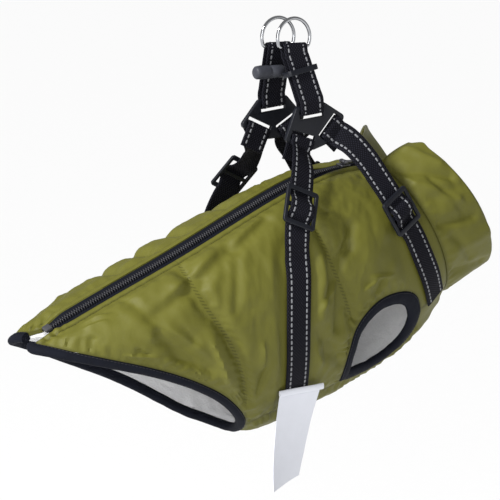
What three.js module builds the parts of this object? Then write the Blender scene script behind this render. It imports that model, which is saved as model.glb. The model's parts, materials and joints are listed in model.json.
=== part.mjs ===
import * as THREE from 'three';

// A dog's padded winter coat with a zip down the back, a stand collar and a built-in walking harness.
// Millimetres, +Z up, +X towards the neck, +Y towards the coat's left side.
// The origin is the top of the two D-rings, where the coat is held.

// Driving dimensions
const SEAM_GAP = 0.3;        // between neighbouring pieces
const ZIP_HALF = 6;          // zip centre to the edge of each side panel
const NECK_SEAM = 365;       // along the zip, from the tail to the collar seam
const SHELL_TOP = -1;        // outer face of the shell at its seams, from the fitted body surface
const SHELL_BOTTOM = -4.5;   // plain inner face of the padded shell
const LINING_THICK = 1.8;
const LINING_TOP = SHELL_BOTTOM - 2 * SEAM_GAP;
const LINING_BOTTOM = LINING_TOP - LINING_THICK;
const PUFF = 2.6;            // how far the padding stands above the seams
const FOLD_SHARE = 0.8;      // share of a fold's height that shows in the padded wall
const FOLD_LIMITS = [-4, 2.5];
const SEAM_EASE = 16;        // width over which the padding rises from a seam
const BINDING_WIDTH = 8;
const WEBBING_WIDTH = 25;
const WEBBING_THICK = 1.8;
const WIRE_RADIUS = 1.6;     // D-ring wire
const RING_RADIUS = 17.2;
const RING_CHORD = 8;        // ring centre down to its straight bar
const RING_BAR_Z = -(RING_RADIUS + RING_CHORD + WIRE_RADIUS);
const PLATE_THICK = 4;
const BAR_HALF = 2.5;        // half the height of a strap bar on the three-slot plates
const LABEL_WIDTH = 44;
const LABEL_DROP = 86;

const COLOURS = {
  shell: 0x7a7836,
  fleece: 0xd9dadb,
  black: 0x1b1b22,
  plastic: 0x25262c,
  grey: 0x55565c,
  chrome: 0xd8dadd,
  label: 0xf2f3f5,
};

// Body sections along the zip: dorsal and ventral points on the middle plane, half-widths of the
// right and left sides, level of the widest point, squareness above and below it, roll and yaw.
const SECTION_COLUMNS = ['along', 'dorsalX', 'dorsalZ', 'ventralX', 'ventralZ', 'right', 'left',
  'widest', 'squareAbove', 'squareBelow', 'roll', 'yaw'];
const SECTIONS = [
  [0, -252, -253, -222, -330, 38, 41, 0.36, 2.6, 2.0, 10, 8],
  [60, -197, -228, -151, -351, 57, 53, 0.36, 3.0, 2.0, 12, 8],
  [135, -127, -198, -74, -371, 68, 62, 0.38, 2.9, 1.9, 12, 6],
  [215, -51, -166, -11, -366, 72, 69, 0.42, 2.6, 1.9, 9, 3],
  [286, 18, -143, 60, -346, 69, 69, 0.44, 2.3, 1.9, 6, 0],
  [330, 61, -137, 120, -323, 65, 65, 0.46, 2.1, 1.9, 4, 0],
  [355, 87, -137, 154, -293, 60, 60, 0.48, 2.0, 2.0, 3, 0],
  [375, 106, -141, 187, -253, 55, 55, 0.50, 2.0, 2.0, 2, 0],
];

// Middle of the hem binding: place along the zip, and share of the way round the body from the zip
// over the right side (0) and the belly (1) to the zip again over the left side (2).
const HEM = [
  [-11, 0.05], [-13, 0.11], [-7, 0.22], [3, 0.31], [15, 0.373], [30, 0.432], [48, 0.486], [66, 0.535],
  [84, 0.584], [102, 0.638], [120, 0.704], [137, 0.793], [145, 0.86], [149, 0.94], [147, 1.02],
  [134, 1.075], [120, 1.116], [102, 1.189], [84, 1.262], [66, 1.326], [48, 1.388], [30, 1.464],
  [15, 1.542], [2, 1.62], [-7, 1.71], [-8, 1.80], [-6, 1.91],
];
const HEM_RIGHT_SEAM = 12.2;   // row of the hem where the right belly seam meets it
const HEM_LEFT_SEAM = 15.6;

// Belly seams, as shares of the way from the zip to the middle of the belly
const BELLY_SEAM = {
  right: [[150, 0.89], [170, 0.838], [207, 0.827], [245, 0.845], [271, 0.855]],
  left: [[125, 0.90], [160, 0.86], [203, 0.845], [243, 0.85], [271, 0.855]],
};

// Cut edge of an armhole, from the belly seam up over the leg and down to the front seam, then
// back under the leg, in the same two columns as the belly seams
const ARMHOLE_OVER = [[271, 0.855], [270.5, 0.762], [273, 0.683], [278, 0.618], [291, 0.57],
  [307, 0.55], [325, 0.57], [337, 0.628], [341, 0.715]];
const ARMHOLE_UNDER = [[341, 0.715], [337, 0.81], [326, 0.875], [309, 0.902], [290, 0.892], [271, 0.855]];
const ARMHOLE_CUT = 0.988;     // size of the binding's outer edge against the cut edge of the panels
const ARMHOLE_BINDING = 0.74;  // size of the finished opening against it
const FRONT_SEAM_SHARE = 0.76;

// Folds and quilting lines: start along and share, end along and share, width, height; a trough is negative
const FOLDS = {
  right: [
    [125, 0.06, 121, 0.26, 7, -3.4], [121, 0.26, 135, 0.46, 7, -3.2], [135, 0.46, 142, 0.72, 7, -2.6],
    [255, 0.20, 261, 0.36, 7, -3.0], [261, 0.36, 273, 0.56, 7, -3.0],
    [86, 0.31, 155, 0.13, 10, -2.6], [155, 0.13, 203, 0.08, 9, -2.2],
    [72, 0.42, 112, 0.52, 8, -2.2], [166, 0.20, 160, 0.33, 11, -2.0],
    [118, 0.40, 128, 0.62, 10, 1.8], [283, 0.27, 268, 0.34, 9, -2.2],
    [262, 0.45, 254, 0.60, 9, -2.0], [236, 0.50, 240, 0.66, 9, -2.2], [292, 0.43, 300, 0.50, 7, -2.2],
  ],
  left: [
    [94, 0.04, 90, 0.30, 8, -3.0], [126, 0.04, 124, 0.46, 7, -3.4], [126, 0.46, 136, 0.74, 7, -2.8],
    [164, 0.04, 158, 0.22, 8, -2.6], [211, 0.04, 208, 0.20, 8, -2.4],
    [257, 0.16, 262, 0.36, 7, -3.0], [262, 0.36, 272, 0.56, 7, -3.0],
    [78, 0.40, 150, 0.24, 10, -2.4], [60, 0.50, 108, 0.64, 8, -2.2],
    [170, 0.26, 164, 0.44, 11, -2.0], [286, 0.24, 270, 0.38, 9, -2.2], [246, 0.48, 238, 0.66, 9, -2.0],
  ],
};

// Straps where they lie on the coat: along, share
const GIRTH_ON_COAT = {
  right: [[224, 0.27], [220, 0.32], [216, 0.37], [209, 0.48], [206, 0.60], [206, 0.68], [208, 0.76]],
  left: [[222, 0.39], [217, 0.47], [212, 0.58], [210, 0.67], [209, 0.76]],
};
const CHEST_ON_COAT = [[346, 0.385], [348, 0.49], [351, 0.61], [354, 0.74]];

// Collar, from the right end round the throat to the left end: share, then how far its middle and
// its rim stand forwards along the neck and outwards from it
const COLLAR_COLUMNS = ['share', 'middleForward', 'middleOut', 'rimForward', 'rimOut'];
const COLLAR = [
  [0.03, 25, 1, 48, -4], [0.25, 27, 3, 53, 0], [0.50, 30, 2, 59, 1], [0.75, 32, 2, 63, 4],
  [1.00, 34, 2, 67, 5], [1.25, 32, 2, 63, 4], [1.50, 29, 3, 57, 3], [1.75, 24, 6, 48, 8],
  [1.88, 15, 14, 38, 16], [1.96, 8, 20, 30, 25],
];
const COLLAR_TOP = -0.5;
const COLLAR_THICK = 5;

// Three-slot plates: the centre, and each strap bar's middle from it with the angle that its strap leaves at
const PLATE = {
  right: {
    centre: [14, -20, -95.5],
    lead: { x: 0, z: 15.5, angle: 95 },
    girth: { x: -10.5, z: -16, angle: 252 },
    chest: { x: 24, z: -6.5, angle: 318 },
  },
  left: {
    centre: [-1, 20, -93],
    lead: { x: 0.5, z: 16.5, angle: 95 },
    girth: { x: -16.5, z: -10.4, angle: 245 },
    chest: { x: 20, z: -9, angle: 300 },
  },
};

// Harness route above the coat: x, y, z of each strap's middle
const GIRTH_FREE = {
  right: [[-6, -38, -126], [-18, -53, -147], [-28, -63, -166], [-33, -69, -186]],
  left: [[-8, 38, -121], [-5, 54, -139], [-13, 66, -156], [-24, 72, -177], [-32, 73, -197]],
};
const CHEST_FREE = {
  right: [[50, -31, -112], [60, -42, -127], [69, -51, -145], [77, -58, -161], [87, -61, -179]],
  left: [[22, 31, -113], [38, 42, -127], [54, 51, -144], [70, 58, -161], [84, 61, -179]],
};
const LEAD_TOP_X = { right: 4, left: -2 };
const LEAD_TOP_Y = 8;
const SIDES = ['right', 'left'];

// Roughness of the materials
const SATIN = 0.6;
const CLOTH = 0.85;
const FLEECE = 0.95;
const MOULDED = 0.45;
const PLATED = 0.4;
const POLISHED = 0.12;

const group = new THREE.Group();

function addMesh(name, geometry, colour, roughness = CLOTH, metalness = 0) {
  const material = new THREE.MeshStandardMaterial({ color: colour, roughness, metalness });
  const mesh = new THREE.Mesh(geometry, material);
  mesh.name = name;
  group.add(mesh);
  return mesh;
}

// Interpolation of tables

function naturalSpline(xs, ys) {
  const n = xs.length;
  const bend = new Array(n).fill(0);
  const work = new Array(n).fill(0);
  for (let i = 1; i < n - 1; i += 1) {
    const share = (xs[i] - xs[i - 1]) / (xs[i + 1] - xs[i - 1]);
    const p = share * bend[i - 1] + 2;
    const slopes = (ys[i + 1] - ys[i]) / (xs[i + 1] - xs[i]) - (ys[i] - ys[i - 1]) / (xs[i] - xs[i - 1]);
    bend[i] = (share - 1) / p;
    work[i] = (6 * slopes / (xs[i + 1] - xs[i - 1]) - share * work[i - 1]) / p;
  }
  for (let i = n - 2; i >= 0; i -= 1) bend[i] = bend[i] * bend[i + 1] + work[i];
  return (x) => {
    let k = 0;
    while (k < n - 2 && x > xs[k + 1]) k += 1;
    const h = xs[k + 1] - xs[k];
    const a = (xs[k + 1] - x) / h;
    const b = 1 - a;
    return a * ys[k] + b * ys[k + 1] + ((a ** 3 - a) * bend[k] + (b ** 3 - b) * bend[k + 1]) * h * h / 6;
  };
}

function tableSplines(columns, rows) {
  const xs = rows.map((row) => row[0]);
  const splines = columns.slice(1)
    .map((name, i) => [name, naturalSpline(xs, rows.map((row) => row[i + 1]))]);
  return (x) => Object.fromEntries(splines.map(([name, spline]) => [name, spline(x)]));
}

function smooth(x) {
  const t = Math.min(1, Math.max(0, x));
  return t * t * (3 - 2 * t);
}

function mix(a, b, t) {
  return a + (b - a) * t;
}

function mixPair(a, b, t) {
  return [mix(a[0], b[0], t), mix(a[1], b[1], t)];
}

// A smooth curve through rows of (along, share), read at a row number
function rowCurve(rows) {
  const index = rows.map((row, i) => i);
  const along = naturalSpline(index, rows.map((row) => row[0]));
  const share = naturalSpline(index, rows.map((row) => row[1]));
  return (row) => [along(row), share(row)];
}

function samples(from, to, count) {
  return Array.from({ length: count + 1 }, (unused, i) => mix(from, to, i / count));
}

// The body surface

const sectionAt = tableSplines(SECTION_COLUMNS, SECTIONS);
const SECTION_STEPS = 120;
const sectionCache = new Map();

function sectionLine(along, side) {
  const key = `${along.toFixed(4)}${side}`;
  if (sectionCache.has(key)) return sectionCache.get(key);
  const row = sectionAt(along);
  const dorsal = new THREE.Vector3(row.dorsalX, 0, row.dorsalZ);
  const ventral = new THREE.Vector3(row.ventralX, 0, row.ventralZ);
  const up = dorsal.clone().sub(ventral);
  const height = up.length();
  up.normalize();
  const centre = dorsal.clone().addScaledVector(up, -height * row.widest);
  const yaw = THREE.MathUtils.degToRad(row.yaw);
  const across = new THREE.Vector3(-Math.sin(yaw), Math.cos(yaw), 0);
  const start = -sign(side) * THREE.MathUtils.degToRad(row.roll);
  const points = [];
  const lengths = [0];
  for (let i = 0; i <= SECTION_STEPS; i += 1) {
    const angle = mix(start, Math.PI, i / SECTION_STEPS);
    const above = Math.abs(angle) < Math.PI / 2;
    const power = above ? row.squareAbove : row.squareBelow;
    const reach = height * (above ? row.widest : 1 - row.widest);
    const half = side === 'right' || angle < 0 ? row.right : row.left;
    const radius = ((Math.abs(Math.sin(angle)) / half) ** power
      + (Math.abs(Math.cos(angle)) / reach) ** power) ** (-1 / power);
    points.push(centre.clone().addScaledVector(up, radius * Math.cos(angle))
      .addScaledVector(across, sign(side) * radius * Math.sin(angle)));
    if (i > 0) lengths.push(lengths[i - 1] + points[i].distanceTo(points[i - 1]));
  }
  const line = { points, lengths, total: lengths[SECTION_STEPS], centre };
  sectionCache.set(key, line);
  return line;
}

// Share 0 to 1 runs over the right side from zip to belly, and 1 to 2 back over the left side
function sideOf(share) {
  return share <= 1 ? 'right' : 'left';
}

function skin([along, share]) {
  const side = sideOf(share);
  const line = sectionLine(along, side);
  const target = (side === 'right' ? share : 2 - share) * line.total;
  let k = 0;
  while (k < SECTION_STEPS - 1 && line.lengths[k + 1] < target) k += 1;
  const t = (target - line.lengths[k]) / (line.lengths[k + 1] - line.lengths[k]);
  return line.points[k].clone().lerp(line.points[k + 1], t);
}

function slopesAt([along, share]) {
  const alongStep = 3;
  const shareStep = 0.015;
  const low = Math.max(0.001, share - shareStep);
  const high = Math.min(1.999, share + shareStep);
  return {
    along: skin([along + alongStep, share]).sub(skin([along - alongStep, share]))
      .divideScalar(2 * alongStep),
    share: skin([along, high]).sub(skin([along, low])).divideScalar(high - low),
  };
}

function normalAt(place) {
  const slopes = slopesAt(place);
  return slopes.along.clone().cross(slopes.share).normalize().negate();
}

function outFrom(place, offset) {
  return skin(place).addScaledVector(normalAt(place), offset);
}

// Moves each point of a curve on the surface sideways by a distance
function moveAside(curve, distance) {
  return curve.map((place, i) => {
    const before = skin(curve[Math.max(0, i - 1)]);
    const after = skin(curve[Math.min(curve.length - 1, i + 1)]);
    const aside = after.sub(before).cross(normalAt(place)).normalize();
    const { along: a, share: b } = slopesAt(place);
    const aa = a.dot(a);
    const bb = b.dot(b);
    const ab = a.dot(b);
    const det = aa * bb - ab * ab;
    const p = a.dot(aside) * distance;
    const q = b.dot(aside) * distance;
    return [place[0] + (p * bb - q * ab) / det, place[1] + (q * aa - p * ab) / det];
  });
}

// Share of the same place on a side, counted from the zip down to the belly or back from it
function onSide(share, side) {
  return side === 'right' ? share : 2 - share;
}

// Share of a place that lies a number of millimetres from the zip
function zipShare(along, distance, side) {
  return onSide(distance / sectionLine(along, side).total, side);
}

// A place on the zip's own line, a hair to its right so that the share has a side
function onZip(along) {
  return [along, 0.001];
}

function sign(side) {
  return side === 'right' ? -1 : 1;
}

// Relief of the padded shell

function distanceToLine(along, share, row, scale) {
  const ax = row[0];
  const ay = row[1] * scale;
  const dx = row[2] - ax;
  const dy = row[3] * scale - ay;
  const t = Math.min(1, Math.max(0, ((along - ax) * dx + (share * scale - ay) * dy) / (dx * dx + dy * dy)));
  return Math.hypot(along - ax - t * dx, share * scale - ay - t * dy);
}

function foldRelief(place) {
  const side = sideOf(place[1]);
  const share = onSide(place[1], side);
  const scale = sectionLine(place[0], side).total;
  let relief = 0;
  for (const row of FOLDS[side]) {
    const away = distanceToLine(place[0], share, row, scale);
    relief += row[5] * Math.exp(-((away / row[4]) ** 2));
  }
  return Math.max(FOLD_LIMITS[0], Math.min(FOLD_LIMITS[1], relief));
}

// Under a strap the padding is pressed flat, and rises again past a margin beside it
const PRESS_MARGIN = 6;
const PRESS_RISE = 14;

function strapPress(place) {
  const side = sideOf(place[1]);
  const share = onSide(place[1], side);
  const scale = sectionLine(place[0], side).total;
  let press = 1;
  for (const route of [GIRTH_ON_COAT[side], CHEST_ON_COAT]) {
    for (let i = 0; i < route.length - 1; i += 1) {
      const away = distanceToLine(place[0], share, [...route[i], ...route[i + 1]], scale);
      press = Math.min(press, smooth((away - WEBBING_WIDTH / 2 - PRESS_MARGIN) / PRESS_RISE));
    }
  }
  return press;
}

function shellTop(place, edgeDistance) {
  const rise = smooth(edgeDistance / SEAM_EASE) * strapPress(place);
  return SHELL_TOP + rise * (PUFF + foldRelief(place) * FOLD_SHARE);
}

// Solids from grids and rings of points

function closedSolid(points, faces) {
  let volume = 0;
  for (const [a, b, c] of faces) volume += points[a].dot(points[b].clone().cross(points[c]));
  const geometry = new THREE.BufferGeometry();
  const positions = points.flatMap((point) => [point.x, point.y, point.z]);
  geometry.setAttribute('position', new THREE.Float32BufferAttribute(positions, 3));
  geometry.setIndex(faces.flatMap(([a, b, c]) => (volume < 0 ? [a, c, b] : [a, b, c])));
  geometry.computeVertexNormals();
  return geometry;
}

// A wall between two grids of the same size
function wallSolid(outer, inner) {
  const rows = outer.length;
  const columns = outer[0].length;
  const points = [...outer.flat(), ...inner.flat()];
  const at = (layer, i, j) => layer * rows * columns + i * columns + j;
  const faces = [];
  const quad = (a, b, c, d) => faces.push([a, b, c], [a, c, d]);
  for (let i = 0; i < rows - 1; i += 1) {
    for (let j = 0; j < columns - 1; j += 1) {
      quad(at(0, i, j), at(0, i + 1, j), at(0, i + 1, j + 1), at(0, i, j + 1));
      quad(at(1, i, j), at(1, i, j + 1), at(1, i + 1, j + 1), at(1, i + 1, j));
    }
  }
  const edge = [];
  for (let j = 0; j < columns; j += 1) edge.push([0, j]);
  for (let i = 1; i < rows; i += 1) edge.push([i, columns - 1]);
  for (let j = columns - 2; j >= 0; j -= 1) edge.push([rows - 1, j]);
  for (let i = rows - 2; i > 0; i -= 1) edge.push([i, 0]);
  edge.forEach(([i, j], k) => {
    const [m, n] = edge[(k + 1) % edge.length];
    quad(at(0, i, j), at(0, m, n), at(1, m, n), at(1, i, j));
  });
  return closedSolid(points, faces);
}

// A solid through rings of the same count, joined end to end or capped
function ringSolid(rings, joined = false) {
  const count = rings[0].length;
  const points = rings.flat();
  const faces = [];
  const last = joined ? rings.length : rings.length - 1;
  for (let i = 0; i < last; i += 1) {
    const next = (i + 1) % rings.length;
    for (let j = 0; j < count; j += 1) {
      const k = (j + 1) % count;
      faces.push([i * count + j, i * count + k, next * count + k]);
      faces.push([i * count + j, next * count + k, next * count + j]);
    }
  }
  if (!joined) {
    for (let j = 1; j < count - 1; j += 1) {
      faces.push([0, j + 1, j]);
      const base = (rings.length - 1) * count;
      faces.push([base, base + j, base + j + 1]);
    }
  }
  return closedSolid(points, faces);
}

// The cut lines that neighbouring pieces share

const hemCurve = rowCurve(HEM);
const HEM_STEPS = { right: 17, belly: 6, left: 19 };
const hemMiddle = [
  ...samples(0, HEM_RIGHT_SEAM, HEM_STEPS.right).map(hemCurve),
  ...samples(HEM_RIGHT_SEAM, HEM_LEFT_SEAM, HEM_STEPS.belly).slice(1).map(hemCurve),
  ...samples(HEM_LEFT_SEAM, HEM.length - 1, HEM_STEPS.left).slice(1).map(hemCurve),
];
const hemEdge = moveAside(hemMiddle, BINDING_WIDTH / 2);
const hemInside = moveAside(hemMiddle, -BINDING_WIDTH / 2);
const HEM_GAP = 0.51;          // a little wider than the other seams, since its curve turns tightly
const hemCut = moveAside(hemMiddle, -BINDING_WIDTH / 2 - HEM_GAP);
const HEM_CORNER = { right: HEM_STEPS.right, left: HEM_STEPS.right + HEM_STEPS.belly };

const SEAM_STEPS = 11;
const OVER_STEPS = 12;
const UNDER_STEPS = 8;
const FRONT_STEPS = 3;

// From the hem's corner forwards to the armhole, eased from the corner into the table's line
const CORNER_EASE = 40;

function bellySeam(side) {
  const rows = BELLY_SEAM[side];
  const line = naturalSpline(rows.map((row) => row[0]), rows.map((row) => row[1]));
  const corner = hemCut[HEM_CORNER[side]];
  const start = corner[0];
  const shift = onSide(corner[1], side) - line(start);
  return samples(start, ARMHOLE_OVER[0][0], SEAM_STEPS).map((along) => {
    const fade = 1 - smooth((along - start) / CORNER_EASE);
    return [along, line(along) + shift * fade];
  });
}

function curveSamples(rows, steps) {
  return samples(0, rows.length - 1, steps).map(rowCurve(rows));
}

const CUTS = Object.fromEntries(SIDES.map((side) => {
  const seam = bellySeam(side);
  const over = curveSamples(ARMHOLE_OVER, OVER_STEPS);
  const under = curveSamples(ARMHOLE_UNDER, UNDER_STEPS).reverse();
  const frontStart = ARMHOLE_UNDER[0];
  const front = samples(0, 1, FRONT_STEPS)
    .map((t) => mixPair(frontStart, [NECK_SEAM, FRONT_SEAM_SHARE], t));
  return [side, { seam, over, under, front }];
}));

// Side panels: columns run from the zip down to the hem, belly seam, armhole and front seam

const PANEL_ROWS = [0, 0.045, 0.11, 0.22, 0.34, 0.46, 0.58, 0.70, 0.82, 0.93, 1];
const PANEL_START = 6;         // along the zip, where the panels begin beside the hem
const SHARE_LENGTH = 75;       // weight of a column's fall round the body against its run along it
const COLUMN_LEAST = 1.5;
const HALF_GAP = SEAM_GAP / 2;

function sidePlaces(side) {
  const cuts = CUTS[side];
  const hem = side === 'right'
    ? hemCut.slice(0, HEM_CORNER.right + 1)
    : hemCut.slice(HEM_CORNER.left).reverse();
  const hemShares = hem.map(([along, share]) => [along, onSide(share, side)]);
  const lift = (curve) => curve
    .map(([along, share]) => [along, share - HALF_GAP / sectionLine(along, side).total]);
  const bottom = [...hemShares, ...lift(cuts.seam.slice(1)), ...cuts.over.slice(1),
    ...lift(cuts.front.slice(1))];
  const steps = bottom.slice(1).map((place, i) => Math.abs(place[0] - bottom[i][0])
    + SHARE_LENGTH * Math.abs(place[1] - bottom[i][1]) + COLUMN_LEAST);
  const total = steps.reduce((sum, step) => sum + step, 0);
  const lastAlong = NECK_SEAM - HALF_GAP;
  let run = 0;
  return bottom.map((low, i) => {
    if (i > 0) run += steps[i - 1];
    const topAlong = mix(PANEL_START, lastAlong, run / total);
    const top = [topAlong, ZIP_HALF / sectionLine(topAlong, side).total];
    const foot = i === bottom.length - 1 ? [lastAlong, low[1]] : low;
    return PANEL_ROWS.map((row) => mixPair(top, foot, row));
  });
}

// Belly panel: columns run across from the right seam to the left one
const BELLY_STEPS = HEM_STEPS.belly;

function bellyPlaces() {
  const lower = (side) => {
    const cuts = CUTS[side];
    const drop = (curve) => curve
      .map(([along, share]) => [along, share + HALF_GAP / sectionLine(along, side).total]);
    const curve = [...drop(cuts.seam), ...cuts.under.slice(1), ...drop(cuts.front.slice(1))];
    curve[curve.length - 1][0] = NECK_SEAM - HALF_GAP;
    return curve.map(([along, share]) => [along, onSide(share, side)]);
  };
  const right = lower('right');
  const left = lower('left');
  const rear = hemCut.slice(HEM_CORNER.right, HEM_CORNER.left + 1);
  const bowColumns = 6;
  return right.map((start, i) => {
    const fade = (1 - Math.min(1, i / bowColumns)) ** 1.5;
    return rear.map((place, j) => {
      const t = j / BELLY_STEPS;
      const straight = mixPair(start, left[i], t);
      const ends = mixPair(right[0], left[0], t);
      const bow = [place[0] - mix(rear[0][0], rear[BELLY_STEPS][0], t), place[1] - ends[1]];
      const hold = j === 0 || j === BELLY_STEPS ? 0 : fade;
      return [straight[0] + bow[0] * hold, straight[1] + bow[1] * hold];
    });
  });
}

const PLACES = {
  right: sidePlaces('right'),
  left: sidePlaces('left').map((column) => column.map(([along, share]) => [along, 2 - share])),
  belly: bellyPlaces(),
};

// Distance of each grid place from the nearest edge of its panel
function edgeDistances(places) {
  const points = places.map((column) => column.map(skin));
  const last = points.length - 1;
  const foot = points[0].length - 1;
  return points.map((column, i) => column.map((point, j) => Math.min(
    point.distanceTo(column[0]),
    point.distanceTo(column[foot]),
    point.distanceTo(points[0][j]),
    point.distanceTo(points[last][j]),
  )));
}

function shellPanel(name, places) {
  const distances = edgeDistances(places);
  const outer = places.map((column, i) => column
    .map((place, j) => outFrom(place, shellTop(place, distances[i][j]))));
  const inner = places.map((column) => column.map((place) => outFrom(place, SHELL_BOTTOM)));
  addMesh(`${name}_panel`, wallSolid(outer, inner), COLOURS.shell, SATIN);
}

function liningPanel(name, places) {
  const outer = places.map((column) => column.map((place) => outFrom(place, LINING_TOP)));
  const inner = places.map((column) => column.map((place) => outFrom(place, LINING_BOTTOM)));
  addMesh(`lining_${name}`, wallSolid(outer, inner), COLOURS.fleece, FLEECE);
}

// Bindings: a folded tape, thickest in the middle, from the cut edge of the panels to the open edge.
// Each value is a distance out from the shell's or the lining's face.
const TAPE_OUTSIDE = { cut: 0.3, middle: 1.4, edge: -0.8 };
const TAPE_INSIDE = { cut: 0, middle: -0.6, edge: 1.2 };

function bindingRing(cut, edge) {
  const middle = mixPair(cut, edge, 0.5);
  return [
    outFrom(cut, SHELL_TOP + TAPE_OUTSIDE.cut),
    outFrom(middle, SHELL_TOP + TAPE_OUTSIDE.middle),
    outFrom(edge, SHELL_TOP + TAPE_OUTSIDE.edge),
    outFrom(edge, LINING_BOTTOM + TAPE_INSIDE.edge),
    outFrom(middle, LINING_BOTTOM + TAPE_INSIDE.middle),
    outFrom(cut, LINING_BOTTOM + TAPE_INSIDE.cut),
  ];
}

function hemBinding() {
  addMesh('hem_binding', ringSolid(hemInside.map((cut, i) => bindingRing(cut, hemEdge[i]))), COLOURS.black);
}

function armholeBinding(side) {
  const cuts = CUTS[side];
  const loop = [...cuts.over, ...cuts.under.slice(1, -1).reverse()];
  const middle = [0, 1].map((k) => loop.reduce((sum, place) => sum + place[k], 0) / loop.length);
  const rings = loop.map((place) => {
    const cut = mixPair(middle, place, ARMHOLE_CUT);
    const edge = mixPair(middle, place, ARMHOLE_BINDING);
    return bindingRing([cut[0], onSide(cut[1], side)], [edge[0], onSide(edge[1], side)]);
  });
  addMesh(`armhole_binding_${side}`, ringSolid(rings, true), COLOURS.black);
}

// Collar: a padded band that follows the neck seam and stays open over the back
const COLLAR_STEPS = [0, 0.16, 0.34, 0.54, 0.76, 0.93, 1];
const RIM_FROM = 0.75;         // where the band starts to close towards its rounded rim
const RIM_THINNING = 0.45;     // thickness of the rim against the band

// Bow of a band at a share of its height, from its middle and rim values
function bow(t, middle, rim) {
  return 2 * (1 - t) * t * (2 * middle - rim / 2) + t * t * rim;
}

function collarShares() {
  const front = (name) => PLACES[name][PLACES[name].length - 1].map((place) => place[1]);
  const shares = [...front('right'), ...front('belly'), ...front('left').reverse()];
  return shares.filter((share, i) => i === 0 || share - shares[i - 1] > 0.004);
}

function collar() {
  const neckCentre = sectionLine(NECK_SEAM, 'right').centre;
  const back = skin(onZip(NECK_SEAM));
  const throat = skin([NECK_SEAM, 1]);
  const slope = throat.clone().sub(back).normalize();
  const forward = new THREE.Vector3(-slope.z, 0, slope.x);
  const rowAt = tableSplines(COLLAR_COLUMNS, COLLAR);
  const grid = (depth) => collarShares().map((share) => {
    const row = rowAt(share);
    const place = [NECK_SEAM + HALF_GAP, share];
    const base = outFrom(place, 0);
    const outward = base.clone().sub(neckCentre);
    outward.addScaledVector(forward, -outward.dot(forward)).normalize();
    return COLLAR_STEPS.map((t) => {
      const closing = smooth((t - RIM_FROM) / (1 - RIM_FROM));
      const rimDepth = mix(-COLLAR_THICK / 2, depth, RIM_THINNING);
      return outFrom(place, mix(depth, rimDepth, closing))
        .addScaledVector(forward, bow(t, row.middleForward, row.rimForward))
        .addScaledVector(outward, bow(t, row.middleOut, row.rimOut));
    });
  });
  addMesh('collar', wallSolid(grid(COLLAR_TOP), grid(COLLAR_TOP - COLLAR_THICK)), COLOURS.shell, SATIN);
}

// Zip: two tapes, the coil between them, the bottom box, the slider and its pull tab

const ZIP_START = 5;
const ZIP_END = 361;
const TAPE_START = ZIP_START + 2;
const COIL_START = ZIP_START + 8;
const COIL_END = 323;
const COIL_HALF = 2.7;
const COIL_SHOULDER = 1.2;     // heights above its foot
const COIL_RIDGE = 2;
const COIL_HOLLOW = 0.05;
const ZIP_SEAT = 0.3;          // height of the coil, slider and box above the tapes
const TAPE_TOP = -2.3;
const TAPE_THICK = 1.2;
const ZIP_STEP = 12;

function zipStations(from, to) {
  return samples(from, to, Math.round((to - from) / ZIP_STEP));
}

function zipTape(side) {
  const near = HALF_GAP;
  const far = ZIP_HALF - SEAM_GAP;
  const rings = zipStations(TAPE_START, ZIP_END).map((along) => {
    const inner = [along, zipShare(along, near, side)];
    const outer = [along, zipShare(along, far, side)];
    return [outFrom(inner, TAPE_TOP), outFrom(outer, TAPE_TOP),
      outFrom(outer, TAPE_TOP - TAPE_THICK), outFrom(inner, TAPE_TOP - TAPE_THICK)];
  });
  addMesh(`zip_tape_${side}`, ringSolid(rings), COLOURS.black);
}

function zipCoil() {
  const low = TAPE_TOP + ZIP_SEAT;
  const rings = zipStations(COIL_START, COIL_END).map((along) => {
    const right = [along, zipShare(along, COIL_HALF, 'right')];
    const left = [along, zipShare(along, COIL_HALF, 'left')];
    const middle = onZip(along);
    return [outFrom(right, low), outFrom(right, low + COIL_SHOULDER), outFrom(middle, low + COIL_RIDGE),
      outFrom(left, low + COIL_SHOULDER), outFrom(left, low), outFrom(middle, low + COIL_HOLLOW)];
  });
  addMesh('zip_coil', ringSolid(rings), COLOURS.plastic, MOULDED);
}

// Axes at a place on the zip: forwards along it, sideways, and out of the coat
function zipFrame(along) {
  const reach = 4;
  const forward = skin(onZip(along + reach)).sub(skin(onZip(along - reach))).normalize();
  const out = normalAt(onZip(along));
  out.addScaledVector(forward, -out.dot(forward)).normalize();
  const sideways = out.clone().cross(forward);
  return new THREE.Matrix4().makeBasis(forward, sideways, out)
    .setPosition(outFrom(onZip(along), TAPE_TOP + ZIP_SEAT));
}

function setFrame(mesh, matrix) {
  matrix.decompose(mesh.position, mesh.quaternion, mesh.scale);
  return mesh;
}

function roundedBox({ length, width, height, bevel }) {
  const shape = new THREE.Shape();
  const x = length / 2 - bevel;
  const y = width / 2 - bevel;
  shape.moveTo(-x, -y).lineTo(x, -y).lineTo(x, y).lineTo(-x, y).closePath();
  const geometry = new THREE.ExtrudeGeometry(shape, {
    depth: height - 2 * bevel, bevelThickness: bevel, bevelSize: bevel, bevelSegments: 1, steps: 1,
  });
  return geometry.translate(0, 0, bevel);
}

const SLIDER_ALONG = 330;
const SLIDER_LENGTH = 11;
const SLIDER_HEIGHT = 3;       // at its rear end
const SLIDER_FRONT = 2.2;      // at its front end
const EAR_GAP = 5.8;
const EAR_HALF = 2;
const EAR_RISE = 1.6;
const SLIDER_HALF = EAR_GAP / 2 + 1.4;
const PIN_HEIGHT = SLIDER_HEIGHT + 1.9;
const PIN_RADIUS = 0.8;
const TAB_WIDTH = 5.2;
const TAB_LENGTH = 21;
const TAB_HALF_THICK = 0.7;
const TAB_EYE = 2.1;
const TAB_HOLE = 1.25;
const TAB_DROOP = THREE.MathUtils.degToRad(9);
const END_BOX_ALONG = ZIP_START + 4;
const END_BOX = { length: 6.5, width: 9, height: 3.4, bevel: 0.6 };

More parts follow.
